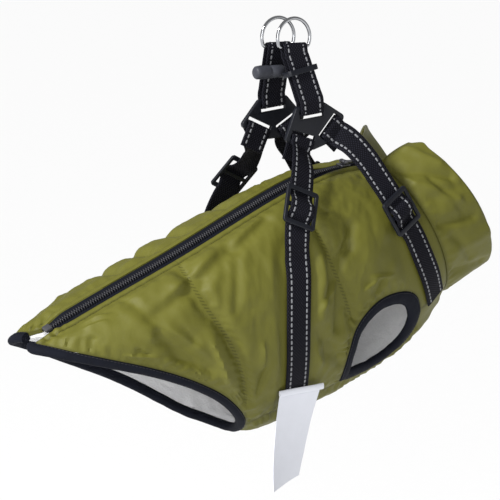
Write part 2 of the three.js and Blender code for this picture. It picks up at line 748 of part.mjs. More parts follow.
function zipSlider() {
  const half = SLIDER_LENGTH / 2;
  const outline = (y) => [
    new THREE.Vector3(-half, y, 0), new THREE.Vector3(half, y, 0),
    new THREE.Vector3(half, y, SLIDER_FRONT), new THREE.Vector3(-half, y, SLIDER_HEIGHT)];
  const geometry = ringSolid([outline(-SLIDER_HALF), outline(SLIDER_HALF)]);
  setFrame(addMesh('zip_slider', geometry, COLOURS.grey, PLATED, 0.7), zipFrame(SLIDER_ALONG));
}

// Two ears with a pin between them, made as one row of outlines across the slider
function zipPullSeat() {
  const outline = (low, high, half) => (y) => [
    new THREE.Vector3(-half, y, low), new THREE.Vector3(half, y, low),
    new THREE.Vector3(half * 0.8, y, high), new THREE.Vector3(-half * 0.8, y, high)];
  const ear = outline(SLIDER_HEIGHT + SEAM_GAP, PIN_HEIGHT + EAR_RISE, EAR_HALF);
  const pin = outline(PIN_HEIGHT - PIN_RADIUS, PIN_HEIGHT + PIN_RADIUS, PIN_RADIUS);
  const inside = EAR_GAP / 2;
  const geometry = ringSolid([ear(-SLIDER_HALF), ear(-inside), pin(-inside + 0.01),
    pin(inside - 0.01), ear(inside), ear(SLIDER_HALF)]);
  setFrame(addMesh('zip_pull_seat', geometry, COLOURS.grey, PLATED, 0.7), zipFrame(SLIDER_ALONG));
}

// The pull tab is a flat tongue with an eye round the pin; it lies forwards towards the neck
function zipPull() {
  const corner = Math.asin(TAB_HALF_THICK / TAB_EYE);
  const shape = new THREE.Shape();
  shape.absarc(0, 0, TAB_EYE, corner, 2 * Math.PI - corner, false);
  shape.lineTo(TAB_LENGTH - 1, -TAB_HALF_THICK);
  shape.quadraticCurveTo(TAB_LENGTH, 0, TAB_LENGTH - 1, TAB_HALF_THICK);
  shape.closePath();
  const opening = new THREE.Path();
  opening.absarc(0, 0, TAB_HOLE, 0, 2 * Math.PI, true);
  shape.holes.push(opening);
  const extrusion = { depth: TAB_WIDTH, bevelEnabled: false, curveSegments: 8 };
  const geometry = new THREE.ExtrudeGeometry(shape, extrusion);
  geometry.translate(0, 0, -TAB_WIDTH / 2).rotateX(Math.PI / 2).rotateY(TAB_DROOP);
  const frame = zipFrame(SLIDER_ALONG);
  frame.multiply(new THREE.Matrix4().makeTranslation(0, 0, PIN_HEIGHT));
  setFrame(addMesh('zip_pull', geometry, COLOURS.grey, PLATED, 0.7), frame);
}

function zipEndBox() {
  const box = addMesh('zip_end_box', roundedBox(END_BOX), COLOURS.grey, PLATED, 0.7);
  setFrame(box, zipFrame(END_BOX_ALONG));
}

// Webbing: a flat ribbon through stations, each with its middle, its width direction and its face

function station(middle, wide, face) {
  return { middle, wide, face };
}

function ribbonRing({ middle, wide, face }) {
  const corner = (u, v) => middle.clone().addScaledVector(wide, u * WEBBING_WIDTH / 2)
    .addScaledVector(face, v * WEBBING_THICK / 2);
  return [corner(-1, -1), corner(1, -1), corner(1, 1), corner(-1, 1)];
}

// A smooth line through points, read by distance, with the face turned from hint to hint
function routeLine(points, hints) {
  const curve = new THREE.CatmullRomCurve3(points, false, 'centripetal');
  const steps = 200;
  const lengths = [0];
  const dense = samples(0, 1, steps).map((t) => curve.getPoint(t));
  for (let i = 1; i <= steps; i += 1) lengths.push(lengths[i - 1] + dense[i].distanceTo(dense[i - 1]));
  const read = (distance) => {
    let k = 0;
    while (k < steps - 1 && lengths[k + 1] < distance) k += 1;
    const t = (k + (distance - lengths[k]) / (lengths[k + 1] - lengths[k])) / steps;
    const at = Math.min(t * (points.length - 1), points.length - 1.001);
    const hint = hints[Math.floor(at)].clone().lerp(hints[Math.floor(at) + 1], at % 1);
    const run = curve.getTangent(t);
    const wide = hint.cross(run).normalize();
    return { ...station(curve.getPoint(t), wide, run.clone().cross(wide).normalize()), run };
  };
  return { length: lengths[steps], read };
}

// A fold of webbing round a bar: the centre of its turn, the bar's direction, the way the strap
// leaves it, the radius of the turn and the lengths of the plies that it starts and ends with
function foldStations(bar, wide, leave, radius, back, ahead) {
  const face = wide.clone().cross(leave).normalize().negate();
  const turn = 5;
  const start = bar.clone().addScaledVector(leave, back).addScaledVector(face, -radius);
  const stations = [station(start, wide, face.clone().negate())];
  for (let i = 0; i <= turn; i += 1) {
    const angle = Math.PI * i / turn;
    const direction = face.clone().multiplyScalar(-Math.cos(angle)).addScaledVector(leave, -Math.sin(angle));
    stations.push(station(bar.clone().addScaledVector(direction, radius), wide, direction));
  }
  const end = bar.clone().addScaledVector(leave, ahead).addScaledVector(face, radius);
  return [...stations, station(end, wide, face)];
}

// Three-slot plate: a flat plate in the XZ plane, with slots for the lead, girth and chest straps

const SLOT_LENGTH = WEBBING_WIDTH + 1;
const SLOT_HEIGHT = 7;
const STRAP_BARS = ['lead', 'girth', 'chest'];

function plateBar(side, name) {
  const bar = PLATE[side][name];
  const [x, y, z] = PLATE[side].centre;
  const angle = THREE.MathUtils.degToRad(bar.angle);
  const middle = new THREE.Vector3(x + bar.x, y, z + bar.z);
  const leave = new THREE.Vector3(Math.cos(angle), 0, Math.sin(angle));
  return {
    middle,
    leave,
    turn: middle.clone().addScaledVector(leave, -BAR_HALF),
    outward: new THREE.Vector3(0, sign(side), 0),
  };
}

function slotPath(x, z, angle) {
  const along = new THREE.Vector2(-Math.sin(angle), Math.cos(angle));
  const away = new THREE.Vector2(Math.cos(angle), Math.sin(angle));
  const near = BAR_HALF;
  const far = BAR_HALF + SLOT_HEIGHT;
  const corner = (u, v) => new THREE.Vector2(x, z)
    .addScaledVector(along, u * SLOT_LENGTH / 2)
    .addScaledVector(away, -v);
  return new THREE.Path([corner(-1, near), corner(-1, far), corner(1, far), corner(1, near)]);
}

// Outline of the plate: rounded ends of the three strap bars, joined by straight edges
const PLATE_ROUND = 3.8;
const PLATE_MARGIN = 0.4;      // from a slot's end to the middle of the rounded corner beyond it

function plateOutline(side) {
  const turns = samples(0, 2 * Math.PI, 16).slice(1);
  const reach = SLOT_LENGTH / 2 + PLATE_MARGIN;
  const cloud = [];
  for (const name of STRAP_BARS) {
    const { x, z, angle } = PLATE[side][name];
    const away = new THREE.Vector2(1, 0).rotateAround(new THREE.Vector2(), THREE.MathUtils.degToRad(angle));
    for (const end of [-reach, reach]) {
      const middle = new THREE.Vector2(x - away.y * end, z + away.x * end)
        .addScaledVector(away, BAR_HALF - PLATE_ROUND);
      for (const turn of turns) {
        const spoke = new THREE.Vector2(Math.cos(turn), Math.sin(turn));
        cloud.push(middle.clone().addScaledVector(spoke, PLATE_ROUND));
      }
    }
  }
  return new THREE.Shape(convexHull(cloud));
}

function convexHull(points) {
  const sorted = [...points].sort((a, b) => a.x - b.x || a.y - b.y);
  const chain = (list) => {
    const hull = [];
    for (const point of list) {
      while (hull.length > 1) {
        const [a, b] = hull.slice(-2);
        if ((b.x - a.x) * (point.y - a.y) - (b.y - a.y) * (point.x - a.x) > 1e-6) break;
        hull.pop();
      }
      hull.push(point);
    }
    return hull.slice(0, -1);
  };
  return [...chain(sorted), ...chain(sorted.reverse())];
}

function threeSlotPlate(side) {
  const shape = plateOutline(side);
  for (const name of STRAP_BARS) {
    const bar = PLATE[side][name];
    shape.holes.push(slotPath(bar.x, bar.z, THREE.MathUtils.degToRad(bar.angle)));
  }
  const geometry = new THREE.ExtrudeGeometry(shape, { depth: PLATE_THICK, bevelEnabled: false });
  geometry.translate(0, 0, -PLATE_THICK / 2).rotateX(Math.PI / 2);
  const plate = addMesh(`plate_${side}`, geometry, COLOURS.plastic, MOULDED);
  plate.position.set(...PLATE[side].centre);
}

// Lead straps: a loop of webbing from each D-ring down to its plate

const RING_PLY = WIRE_RADIUS + SEAM_GAP + WEBBING_THICK / 2;
const PLATE_PLY = PLATE_THICK / 2 + 1.5 * SEAM_GAP + WEBBING_THICK / 2;
const RING_LAP = 6;            // straight ends of the folds at the ring and at the plate
const PLATE_LAP = 8;

function ringBar(side) {
  return new THREE.Vector3(LEAD_TOP_X[side], sign(side) * LEAD_TOP_Y, RING_BAR_Z);
}

function leadStrap(side) {
  const top = ringBar(side);
  const bar = plateBar(side, 'lead');
  const down = bar.middle.clone().sub(top).normalize();
  const wideTop = new THREE.Vector3(1, 0, 0);
  const leaveTop = new THREE.Vector3(0, down.y, down.z).normalize();
  const wideFoot = new THREE.Vector3(bar.leave.z, 0, -bar.leave.x);
  const upper = foldStations(top, wideTop, leaveTop, RING_PLY, RING_LAP, RING_LAP);
  const lower = foldStations(bar.turn, wideFoot, bar.leave, PLATE_PLY, PLATE_LAP, PLATE_LAP);
  const rings = [...upper, ...lower].map(ribbonRing);
  addMesh(`lead_strap_${side}`, ringSolid(rings, true), COLOURS.black);
}

// D-rings: a round wire bent to most of a circle and closed by a straight bar

function dRing(side) {
  const half = Math.sqrt(RING_RADIUS ** 2 - RING_CHORD ** 2);
  const open = Math.asin(RING_CHORD / RING_RADIUS);
  const arcSteps = 22;
  const sides = 7;
  const path = samples(-open, Math.PI + open, arcSteps)
    .map((angle) => new THREE.Vector2(RING_RADIUS * Math.cos(angle), RING_RADIUS * Math.sin(angle)));
  path.push(new THREE.Vector2(-half / 3, -RING_CHORD), new THREE.Vector2(half / 3, -RING_CHORD));
  const count = path.length;
  const rings = path.map((point, i) => {
    const before = point.clone().sub(path[(i + count - 1) % count]).normalize();
    const after = path[(i + 1) % count].clone().sub(point).normalize();
    const run = before.add(after).normalize();
    return samples(0, 2 * Math.PI, sides).slice(1).map((angle) => new THREE.Vector3(
      point.x - run.y * WIRE_RADIUS * Math.cos(angle), WIRE_RADIUS * Math.sin(angle),
      point.y + run.x * WIRE_RADIUS * Math.cos(angle)));
  });
  const ring = addMesh(`ring_${side}`, ringSolid(rings, true), COLOURS.chrome, POLISHED, 1);
  ring.position.copy(ringBar(side)).add(new THREE.Vector3(0, 0, RING_CHORD));
}

// Keepers hold the two plies of each lead strap, and a round clasp joins the two keepers

const KEEPER_Z = -48;
const KEEPER_HEIGHT = 5;
const KEEPER_WALL = 1.8;
const KEEPER_INSIDE = PLATE_PLY + WEBBING_THICK / 2 + 2 * SEAM_GAP;
const KEEPER_LENGTH = WEBBING_WIDTH + 7;
const KEEPER_END = 2.6;
const CORNER_CUT = 2;

function frameGeometry(length, width, border, height, middleBar = 0) {
  const shape = new THREE.Shape();
  const x = length / 2;
  const y = width / 2;
  const cut = CORNER_CUT;
  shape.moveTo(-x + cut, -y).lineTo(x - cut, -y).lineTo(x, -y + cut).lineTo(x, y - cut);
  shape.lineTo(x - cut, y).lineTo(-x + cut, y).lineTo(-x, y - cut).lineTo(-x, -y + cut).closePath();
  const windows = middleBar > 0
    ? [[-y + border.y, -middleBar / 2], [middleBar / 2, y - border.y]]
    : [[-y + border.y, y - border.y]];
  for (const [low, high] of windows) {
    const inside = x - border.x;
    shape.holes.push(new THREE.Path([
      new THREE.Vector2(-inside, low), new THREE.Vector2(-inside, high),
      new THREE.Vector2(inside, high), new THREE.Vector2(inside, low)]));
  }
  const geometry = new THREE.ExtrudeGeometry(shape, { depth: height, bevelEnabled: false });
  return geometry.translate(0, 0, -height / 2);
}

function leadMiddle(side, z) {
  const top = ringBar(side);
  const bottom = plateBar(side, 'lead').middle;
  return top.clone().lerp(bottom, (z - top.z) / (bottom.z - top.z));
}

function strapKeeper(side) {
  const border = { x: KEEPER_END, y: KEEPER_WALL };
  const geometry = frameGeometry(KEEPER_LENGTH, 2 * (KEEPER_INSIDE + KEEPER_WALL), border, KEEPER_HEIGHT);
  const keeper = addMesh(`keeper_${side}`, geometry, COLOURS.plastic, MOULDED);
  keeper.position.copy(leadMiddle(side, KEEPER_Z));
  const down = plateBar(side, 'lead').middle.sub(ringBar(side)).normalize();
  keeper.quaternion.setFromUnitVectors(new THREE.Vector3(0, 0, -1), down);
}

// Radius below its largest and distance from the back end, round the clasp's barrel and its collar
const CLASP_PROFILE = [[1.5, 0.2], [0.2, 1.6], [0, 4], [0, 14.5], [1, 15], [1, 16.2], [0.3, 16.8],
  [0.3, 28.6], [1, 29.6]];
const CLASP_LENGTH = 29.6;
const CLASP_X = -32;
const CLASP_DROP = 0.5;

function claspBarrel() {
  const reach = leadMiddle('left', KEEPER_Z).y - KEEPER_INSIDE - KEEPER_WALL - 0.4;
  const outline = [[reach, 0], ...CLASP_PROFILE, [reach, CLASP_LENGTH]];
  const points = outline.map(([less, along]) => new THREE.Vector2(reach - less, along));
  const geometry = new THREE.LatheGeometry(points, 14).rotateZ(-Math.PI / 2);
  const barrel = addMesh('clasp_barrel', geometry, COLOURS.grey, MOULDED);
  barrel.position.set(CLASP_X, 0, KEEPER_Z - CLASP_DROP);
}

// Girth and chest straps: folded round their bar on the plate, then free, then flat on the coat

const ON_COAT = SHELL_TOP + 1.05 + WEBBING_THICK / 2;
const PLATE_TAIL = 20;         // length of the short ply behind a plate
const ADJUSTER = { length: 36, width: 33, thick: 2.8, middleBar: 3.6, border: { x: 3.4, y: 4.4 } };

function strapRoute(side, name) {
  const bar = plateBar(side, name);
  const outward = bar.outward;
  const alongBar = outward.clone().cross(bar.leave).normalize();
  const folded = foldStations(bar.turn, alongBar, bar.leave, PLATE_PLY, PLATE_TAIL, 2 * BAR_HALF);
  const freeRoute = name === 'girth' ? GIRTH_FREE[side] : CHEST_FREE[side];
  const free = freeRoute.map((point) => new THREE.Vector3(...point));
  const coatRoute = name === 'girth' ? GIRTH_ON_COAT[side] : CHEST_ON_COAT;
  const coatPlaces = coatRoute.map(([along, share]) => [along, onSide(share, side)]);
  const onCoat = coatPlaces.map((place) => outFrom(place, ON_COAT));
  const leaving = folded[folded.length - 1].middle.clone().addScaledVector(bar.leave, 2);
  const points = [leaving, ...free, ...onCoat];
  const coatFace = normalAt(coatPlaces[0]);
  const hints = points.map((unused, i) => {
    if (i > free.length) return normalAt(coatPlaces[i - free.length - 1]);
    return outward.clone().lerp(coatFace, i / (free.length + 1)).normalize();
  });
  return { folded, points, hints };
}

// The webbing rises over the adjuster's middle bar: distance from the bar, share of the rise
const ADJUSTER_ARCH = [[-19, 0], [-13, 0], [-10.5, 0.16], [-6.5, 0.62], [-3, 1], [0, 1], [3, 1],
  [6.5, 0.62], [10.5, 0.16], [13, 0], [19, 0]];
const ADJUSTER_LIFT = 2.6 * SEAM_GAP;   // between the webbing and the frame
const ARCH_RISE = ADJUSTER.thick + WEBBING_THICK + ADJUSTER_LIFT + 2 * SEAM_GAP;
const STATION_SPACING = 8;
const ADJUSTER_AT = { girth: 66, chest: 92 };

function strap(side, name) {
  const { folded, points, hints } = strapRoute(side, name);
  const { length, read } = routeLine(points, hints);
  const adjusterAt = ADJUSTER_AT[name];
  const first = adjusterAt + ADJUSTER_ARCH[0][0];
  const last = adjusterAt + ADJUSTER_ARCH[ADJUSTER_ARCH.length - 1][0];
  const anchor = read(adjusterAt);
  const before = samples(0, first, Math.round(first / STATION_SPACING)).slice(0, -1).map(read);
  const after = samples(last, length, Math.round((length - last) / STATION_SPACING)).slice(1).map(read);
  const arch = ADJUSTER_ARCH.map(([away, share]) => {
    const stop = read(adjusterAt + away);
    return station(stop.middle.addScaledVector(anchor.face, ARCH_RISE * share), stop.wide, stop.face);
  });
  const rings = [...folded, ...before, ...arch, ...after].map(ribbonRing);
  addMesh(`${name}_strap_${side}`, ringSolid(rings), COLOURS.black);
  adjuster(side, name, anchor);
}

// Adjusters: a frame with a bar across its middle that the webbing passes over
function adjuster(side, name, anchor) {
  const { width, length, border, thick, middleBar } = ADJUSTER;
  const geometry = frameGeometry(width, length, border, thick, middleBar);
  const mesh = addMesh(`adjuster_${name}_${side}`, geometry, COLOURS.plastic, MOULDED);
  const { face, run } = anchor;
  const wide = run.clone().cross(face).normalize();
  const height = WEBBING_THICK / 2 + ADJUSTER_LIFT + thick / 2;
  setFrame(mesh, new THREE.Matrix4().makeBasis(wide, run, face)
    .setPosition(anchor.middle.clone().addScaledVector(face, height)));
}

// Care label: a thin strip folded at the top, hanging and turning slightly

const LABEL = { x: -20.2, y: -57.1, z: -325.8, thick: 0.8, sway: -15, belly: 3, curl: 6 };
const LABEL_TURN = THREE.MathUtils.degToRad(24);

function careLabel() {
  const top = new THREE.Vector3(LABEL.x, LABEL.y, LABEL.z);
  const bottom = top.clone().add(new THREE.Vector3(LABEL.sway, 1.6, -LABEL_DROP));
  const grid = (depth) => samples(0, 1, 12).map((t) => {
    const middle = top.clone().lerp(bottom, t);
    middle.y += LABEL.belly * Math.sin(Math.PI * t);
    const angle = LABEL_TURN * t;
    return samples(-0.5, 0.5, 4).map((u) => {
      const curl = LABEL.curl * t * u * u;
      return new THREE.Vector3(
        middle.x + u * LABEL_WIDTH * Math.cos(angle) + depth * Math.sin(angle),
        middle.y + u * LABEL_WIDTH * Math.sin(angle) - depth * Math.cos(angle) - curl,
        middle.z);
    });
  });
  const wall = wallSolid(grid(LABEL.thick / 2), grid(-LABEL.thick / 2));
  addMesh('care_label', wall, COLOURS.label, SATIN);
}

for (const name of ['right', 'left', 'belly']) {
  shellPanel(name, PLACES[name]);
  liningPanel(name, PLACES[name]);
}
hemBinding();
collar();
zipCoil();
zipSlider();
zipPullSeat();
zipPull();
zipEndBox();
claspBarrel();
careLabel();
for (const side of SIDES) {
  armholeBinding(side);
  zipTape(side);
  threeSlotPlate(side);
  leadStrap(side);
  dRing(side);
  strapKeeper(side);
  strap(side, 'girth');
  strap(side, 'chest');
}

export default group;
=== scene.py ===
"""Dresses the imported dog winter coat: padded olive shell, fleece lining, bound edges, webbing harness and zip.

Lengths in the tables are millimetres in the shared frame: +X towards the neck, +Y towards the coat's left
side, +Z up, with the origin at the top of the two D-rings.
"""
import json
import math

import bmesh
import bpy
import numpy as np
from mathutils import Matrix, Vector, kdtree, noise

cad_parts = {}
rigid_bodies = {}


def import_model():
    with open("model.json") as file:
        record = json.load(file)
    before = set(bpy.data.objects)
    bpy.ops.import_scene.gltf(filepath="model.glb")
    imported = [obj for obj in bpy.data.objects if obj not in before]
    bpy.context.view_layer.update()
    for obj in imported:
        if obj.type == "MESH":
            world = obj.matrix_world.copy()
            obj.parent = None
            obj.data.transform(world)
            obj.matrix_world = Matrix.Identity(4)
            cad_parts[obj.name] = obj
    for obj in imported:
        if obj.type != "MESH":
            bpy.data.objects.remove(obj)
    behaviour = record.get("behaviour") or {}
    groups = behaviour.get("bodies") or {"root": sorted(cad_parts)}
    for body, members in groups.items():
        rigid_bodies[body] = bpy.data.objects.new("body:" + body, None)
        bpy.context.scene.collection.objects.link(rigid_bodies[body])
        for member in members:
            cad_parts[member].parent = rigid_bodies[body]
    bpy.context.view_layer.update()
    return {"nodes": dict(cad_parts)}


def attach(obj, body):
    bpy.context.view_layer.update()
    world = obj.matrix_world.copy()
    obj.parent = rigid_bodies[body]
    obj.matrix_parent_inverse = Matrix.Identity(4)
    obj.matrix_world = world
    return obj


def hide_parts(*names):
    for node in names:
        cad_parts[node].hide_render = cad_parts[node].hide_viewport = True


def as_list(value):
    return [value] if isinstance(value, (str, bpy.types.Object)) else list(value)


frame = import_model()

bl_info = {
    "name": "Dog winter coat",
    "version": (1, 0, 0),
    "blender": (4, 5, 0),
    "location": "View3D > Sidebar > Dog coat",
    "description": "Builds the padded dog coat with its webbing harness around the packed frame",
    "category": "Object",
}

MM = 0.001
SIDES = ("right", "left")

# Body sections along the zip: dorsal and ventral points, half-widths, level of the widest point,
# squareness above and below it, roll and yaw
SECTION_COLUMNS = ("along", "dorsal_x", "dorsal_z", "ventral_x", "ventral_z", "right", "left",
                   "widest", "square_above", "square_below", "roll", "yaw")
SECTIONS = (
    (0, -252, -253, -222, -330, 38, 41, 0.36, 2.6, 2.0, 10, 8),
    (60, -197, -228, -151, -351, 57, 53, 0.36, 3.0, 2.0, 12, 8),
    (135, -127, -198, -74, -371, 68, 62, 0.38, 2.9, 1.9, 12, 6),
    (215, -51, -166, -11, -366, 72, 69, 0.42, 2.6, 1.9, 9, 3),
    (286, 18, -143, 60, -346, 69, 69, 0.44, 2.3, 1.9, 6, 0),
    (330, 61, -137, 120, -323, 65, 65, 0.46, 2.1, 1.9, 4, 0),
    (355, 87, -137, 154, -293, 60, 60, 0.48, 2.0, 2.0, 3, 0),
    (375, 106, -141, 187, -253, 55, 55, 0.50, 2.0, 2.0, 2, 0),
)

# Seams and open edges: distance along the zip, and share of the way round from the zip over the
# right side (0) and the belly (1) back to the zip (2)
HEM = (
    (-11, 0.05), (-13, 0.11), (-7, 0.22), (3, 0.31), (15, 0.373), (30, 0.432), (48, 0.486), (66, 0.535),
    (84, 0.584), (102, 0.638), (120, 0.704), (137, 0.793), (145, 0.86), (149, 0.94), (147, 1.02),
    (134, 1.075), (120, 1.116), (102, 1.189), (84, 1.262), (66, 1.326), (48, 1.388), (30, 1.464),
    (15, 1.542), (2, 1.62), (-7, 1.71), (-8, 1.80), (-6, 1.91),
)
HEM_RIGHT_SEAM = 12.2
HEM_LEFT_SEAM = 15.6
BELLY_SEAM = {
    "right": ((150, 0.89), (170, 0.838), (207, 0.827), (245, 0.845), (271, 0.855)),
    "left": ((125, 0.90), (160, 0.86), (203, 0.845), (243, 0.85), (271, 0.855)),
}
ARMHOLE_OVER = ((271, 0.855), (270.5, 0.762), (273, 0.683), (278, 0.618), (291, 0.57), (307, 0.55),
                (325, 0.57), (337, 0.628), (341, 0.715))
ARMHOLE_UNDER = ((341, 0.715), (337, 0.81), (326, 0.875), (309, 0.902), (290, 0.892), (271, 0.855))
ARMHOLE_CUT = 0.988
ARMHOLE_BINDING = 0.74
FRONT_SEAM_SHARE = 0.76
NECK_SEAM = 365.0

# Broad folds: start along and share, end along and share, width, height; a trough is negative
FOLDS = {
    "right": (
        (125, 0.06, 121, 0.26, 7, -3.4), (121, 0.26, 135, 0.46, 7, -3.2), (135, 0.46, 142, 0.72, 7, -2.6),
        (255, 0.20, 261, 0.36, 7, -3.0), (261, 0.36, 273, 0.56, 7, -3.0),
        (80, 0.245, 128, 0.185, 6, -2.0), (128, 0.185, 168, 0.130, 6, -2.0), (176, 0.145, 217, 0.100, 6, -1.5),
        (69, 0.12, 73, 0.31, 5.0, -1.5), (75, 0.355, 86, 0.45, 7, -2.4), (86, 0.45, 106, 0.525, 7, -2.4),
        (155, 0.172, 133, 0.315, 4.0, -0.7), (167, 0.177, 145, 0.332, 4.0, -0.7),
        (180, 0.157, 158, 0.315, 4.5, 0.6), (118, 0.40, 128, 0.62, 10, 1.2),
        (289, 0.265, 279, 0.32, 5.5, -2.6), (279, 0.32, 265, 0.355, 5.5, -2.4),
        (259, 0.357, 249, 0.44, 5.0, -2.4), (261, 0.46, 257, 0.57, 6.0, -2.8),
        (231, 0.53, 248, 0.637, 7.0, -2.8), (248, 0.637, 268, 0.73, 7.0, -2.4),
        (238, 0.40, 232, 0.50, 9.0, 1.6), (300, 0.34, 296, 0.42, 12, 1.4),
    ),
    "left": (
        (94, 0.04, 90, 0.30, 6, -3.4), (126, 0.04, 124, 0.46, 6, -3.4), (126, 0.46, 136, 0.74, 7, -2.8),
        (164, 0.04, 158, 0.22, 6, -3.4), (211, 0.04, 208, 0.20, 6, -3.0),
        (257, 0.16, 262, 0.36, 7, -3.0), (262, 0.36, 272, 0.56, 7, -3.0),
        (78, 0.40, 150, 0.24, 10, -2.4), (60, 0.50, 108, 0.64, 8, -2.2),
        (170, 0.26, 164, 0.44, 11, -2.0), (286, 0.24, 270, 0.38, 9, -2.2), (246, 0.48, 238, 0.66, 9, -2.0),
    ),
}

# Creases finer than the solids hold: start along and share, end along and share, width, height
CREASES = {
    "right": (
        (170, 0.103, 82, 0.208, 5.0, 1.5), (219, 0.082, 172, 0.122, 4.0, 1.2), (75, 0.27, 62, 0.36, 4.0, 0.9),
        (110, 0.485, 77, 0.285, 5.0, 1.4), (122, 0.635, 112, 0.375, 3.0, 1.6), (34, 0.38, 68, 0.432, 2.8, 1.1),
        (50, 0.355, 60, 0.42, 2.6, -1.1), (27, 0.22, 21, 0.34, 4.5, -1.4), (26, 0.112, 52, 0.164, 2.6, 0.9),
        (24, 0.174, 46, 0.192, 2.6, 0.9), (166, 0.457, 162, 0.60, 3.0, 1.1), (170, 0.565, 151, 0.70, 3.6, -1.4),
        (228, 0.48, 259, 0.415, 3.2, 1.4), (224, 0.57, 242, 0.695, 3.0, 1.1), (291, 0.440, 319, 0.483, 2.6, 1.2),
        (310, 0.465, 298, 0.53, 2.8, -1.3), (298, 0.525, 285, 0.57, 2.4, 1.1), (286, 0.484, 301, 0.463, 2.6, 1.1),
        (266, 0.14, 275, 0.20, 3.4, -1.0), (133, 0.23, 112, 0.36, 5.5, -0.9), (246, 0.22, 250, 0.44, 5.0, 0.7),
        (92, 0.30, 104, 0.42, 4.0, -0.8), (184, 0.38, 180, 0.66, 6.0, 0.8), (326, 0.08, 346, 0.16, 4.0, -1.0),
        (346, 0.12, 362, 0.16, 2.8, -1.2), (350, 0.20, 363, 0.23, 2.8, -1.2), (352, 0.28, 364, 0.30, 2.8, -1.1),
        (348, 0.24, 364, 0.27, 3.0, 1.0), (350, 0.33, 364, 0.35, 3.0, -1.0), (351, 0.39, 364, 0.40, 3.0, 1.0),
    ),
    "left": (
        (36, 0.22, 92, 0.34, 4.0, 1.1), (62, 0.42, 92, 0.48, 3.0, -1.2), (108, 0.30, 112, 0.50, 3.4, 1.0),
        (142, 0.28, 146, 0.52, 5.0, 1.2), (184, 0.30, 180, 0.58, 5.5, -1.2), (232, 0.26, 230, 0.50, 5.0, 1.0),
        (274, 0.28, 282, 0.44, 4.5, 1.0), (298, 0.26, 306, 0.40, 5.0, 1.0), (290, 0.46, 292, 0.54, 2.6, 1.1),
        (312, 0.40, 314, 0.51, 3.0, -1.0), (346, 0.12, 362, 0.16, 2.6, -1.0), (352, 0.26, 364, 0.28, 2.6, -0.9),
    ),
}

# Quilted lines of pressed slanting stitches: along, share
QUILTING = {
    "right": (
        ((128, 0.075), (123, 0.16), (122, 0.27), (129, 0.38), (136, 0.49), (140, 0.60), (143, 0.73)),
        ((252, 0.10), (255, 0.20), (260, 0.33), (267, 0.45), (273, 0.545)),
    ),
    "left": (
        ((128, 0.06), (125, 0.16), (124, 0.27), (125, 0.38), (129, 0.49), (132, 0.60), (134, 0.73)),
        ((252, 0.08), (257, 0.20), (262, 0.33), (268, 0.45), (273, 0.545)),
    ),
}

# Straps where they lie on the coat (along, share) and above it (x, y, z)
GIRTH_ON_COAT = {
    "right": ((224, 0.27), (220, 0.32), (216, 0.37), (209, 0.48), (206, 0.60), (206, 0.68), (208, 0.76)),
    "left": ((222, 0.39), (217, 0.47), (212, 0.58), (210, 0.67), (209, 0.76)),
}
CHEST_ON_COAT = ((346, 0.385), (348, 0.49), (351, 0.61), (354, 0.74))
GIRTH_FREE = {
    "right": ((-6, -38, -126), (-18, -53, -147), (-28, -63, -166), (-33, -69, -186)),
    "left": ((-8, 38, -121), (-5, 54, -139), (-13, 66, -156), (-24, 72, -177), (-32, 73, -197)),
}
CHEST_FREE = {
    "right": ((50, -31, -112), (60, -42, -127), (69, -51, -145), (77, -58, -161), (87, -61, -179)),
    "left": ((22, 31, -113), (38, 42, -127), (54, 51, -144), (70, 58, -161), (84, 61, -179)),
}

# Three-slot plates: the centre, and each strap bar's middle from it with its strap's angle
PLATE = {
    "right": {"centre": (14, -20, -95.5), "lead": (0, 15.5, 95), "girth": (-10.5, -16, 252),
              "chest": (24, -6.5, 318)},
    "left": {"centre": (-1, 20, -93), "lead": (0.5, 16.5, 95), "girth": (-16.5, -10.4, 245),
             "chest": (20, -9, 300)},
}
LEAD_TOP = {"right": (4, -8, -26.8), "left": (-2, 8, -26.8)}

# Collar: share, then how far its middle and its rim stand forwards along the neck and outwards
COLLAR_COLUMNS = ("share", "middle_forward", "middle_out", "rim_forward", "rim_out")
COLLAR = (
    (0.03, 25, 1, 48, -4), (0.25, 27, 3, 51, 0), (0.50, 30, 2, 57, 1), (0.75, 32, 2, 60, 4),
    (1.00, 34, 2, 65, 5), (1.25, 32, 2, 63, 4), (1.50, 29, 3, 57, 3), (1.75, 23, 7, 45, 10),
    (1.88, 11, 17, 30, 23), (1.96, 4, 22, 20, 32),
)

# Heights out from the body surface
SHELL_TOP = -1.0
SHELL_BOTTOM = -4.5
LINING_TOP = -5.1
LINING_BOTTOM = -6.9
TAPE_TOP = -1.9
ZIP_HALF = 6.7
ZIP_LIFT = 1.2
ZIP_TILT = 0.42
BINDING_WIDTH = 8.0
HEM_GAP = 0.51
HALF_GAP = 0.15
WEBBING_WIDTH = 25.0
WEBBING_THICK = 1.8
BAR_HALF = 2.5
RING_PLY = 2.8
PLATE_PLY = 3.35
RING_LAP = 6.0
PLATE_LAP = 8.0
PLATE_TAIL = 20.0
ON_COAT = 0.95
RING_RADIUS = 17.2
RING_WIRE = 1.6
RING_CHORD = 8.0
ADJUSTER_THICK = 2.8
ADJUSTER_LIFT = 0.78
ADJUSTER_AT = {"girth": 66.0, "chest": 92.0}
ADJUSTER_ARCH = ((-19, 0), (-13, 0), (-10.5, 0.16), (-6.5, 0.62), (-3, 1), (0, 1), (3, 1),
                 (6.5, 0.62), (10.5, 0.16), (13, 0), (19, 0))
SLIDER_ALONG = 330.0
COIL = (13.0, 323.0)

# Finer steps than the solids have: columns along the hem, seams and armholes, rows down a panel
REFINE = 5
HEM_STEPS = {"right": 17 * REFINE, "belly": 6 * REFINE, "left": 19 * REFINE}
SEAM_STEPS = 11 * REFINE
OVER_STEPS = 12 * REFINE
UNDER_STEPS = 8 * REFINE
FRONT_STEPS = 3 * REFINE
PANEL_ROWS = 118
PANEL_START = 6.0
SHARE_LENGTH = 75.0
COLUMN_LEAST = 1.5 / REFINE


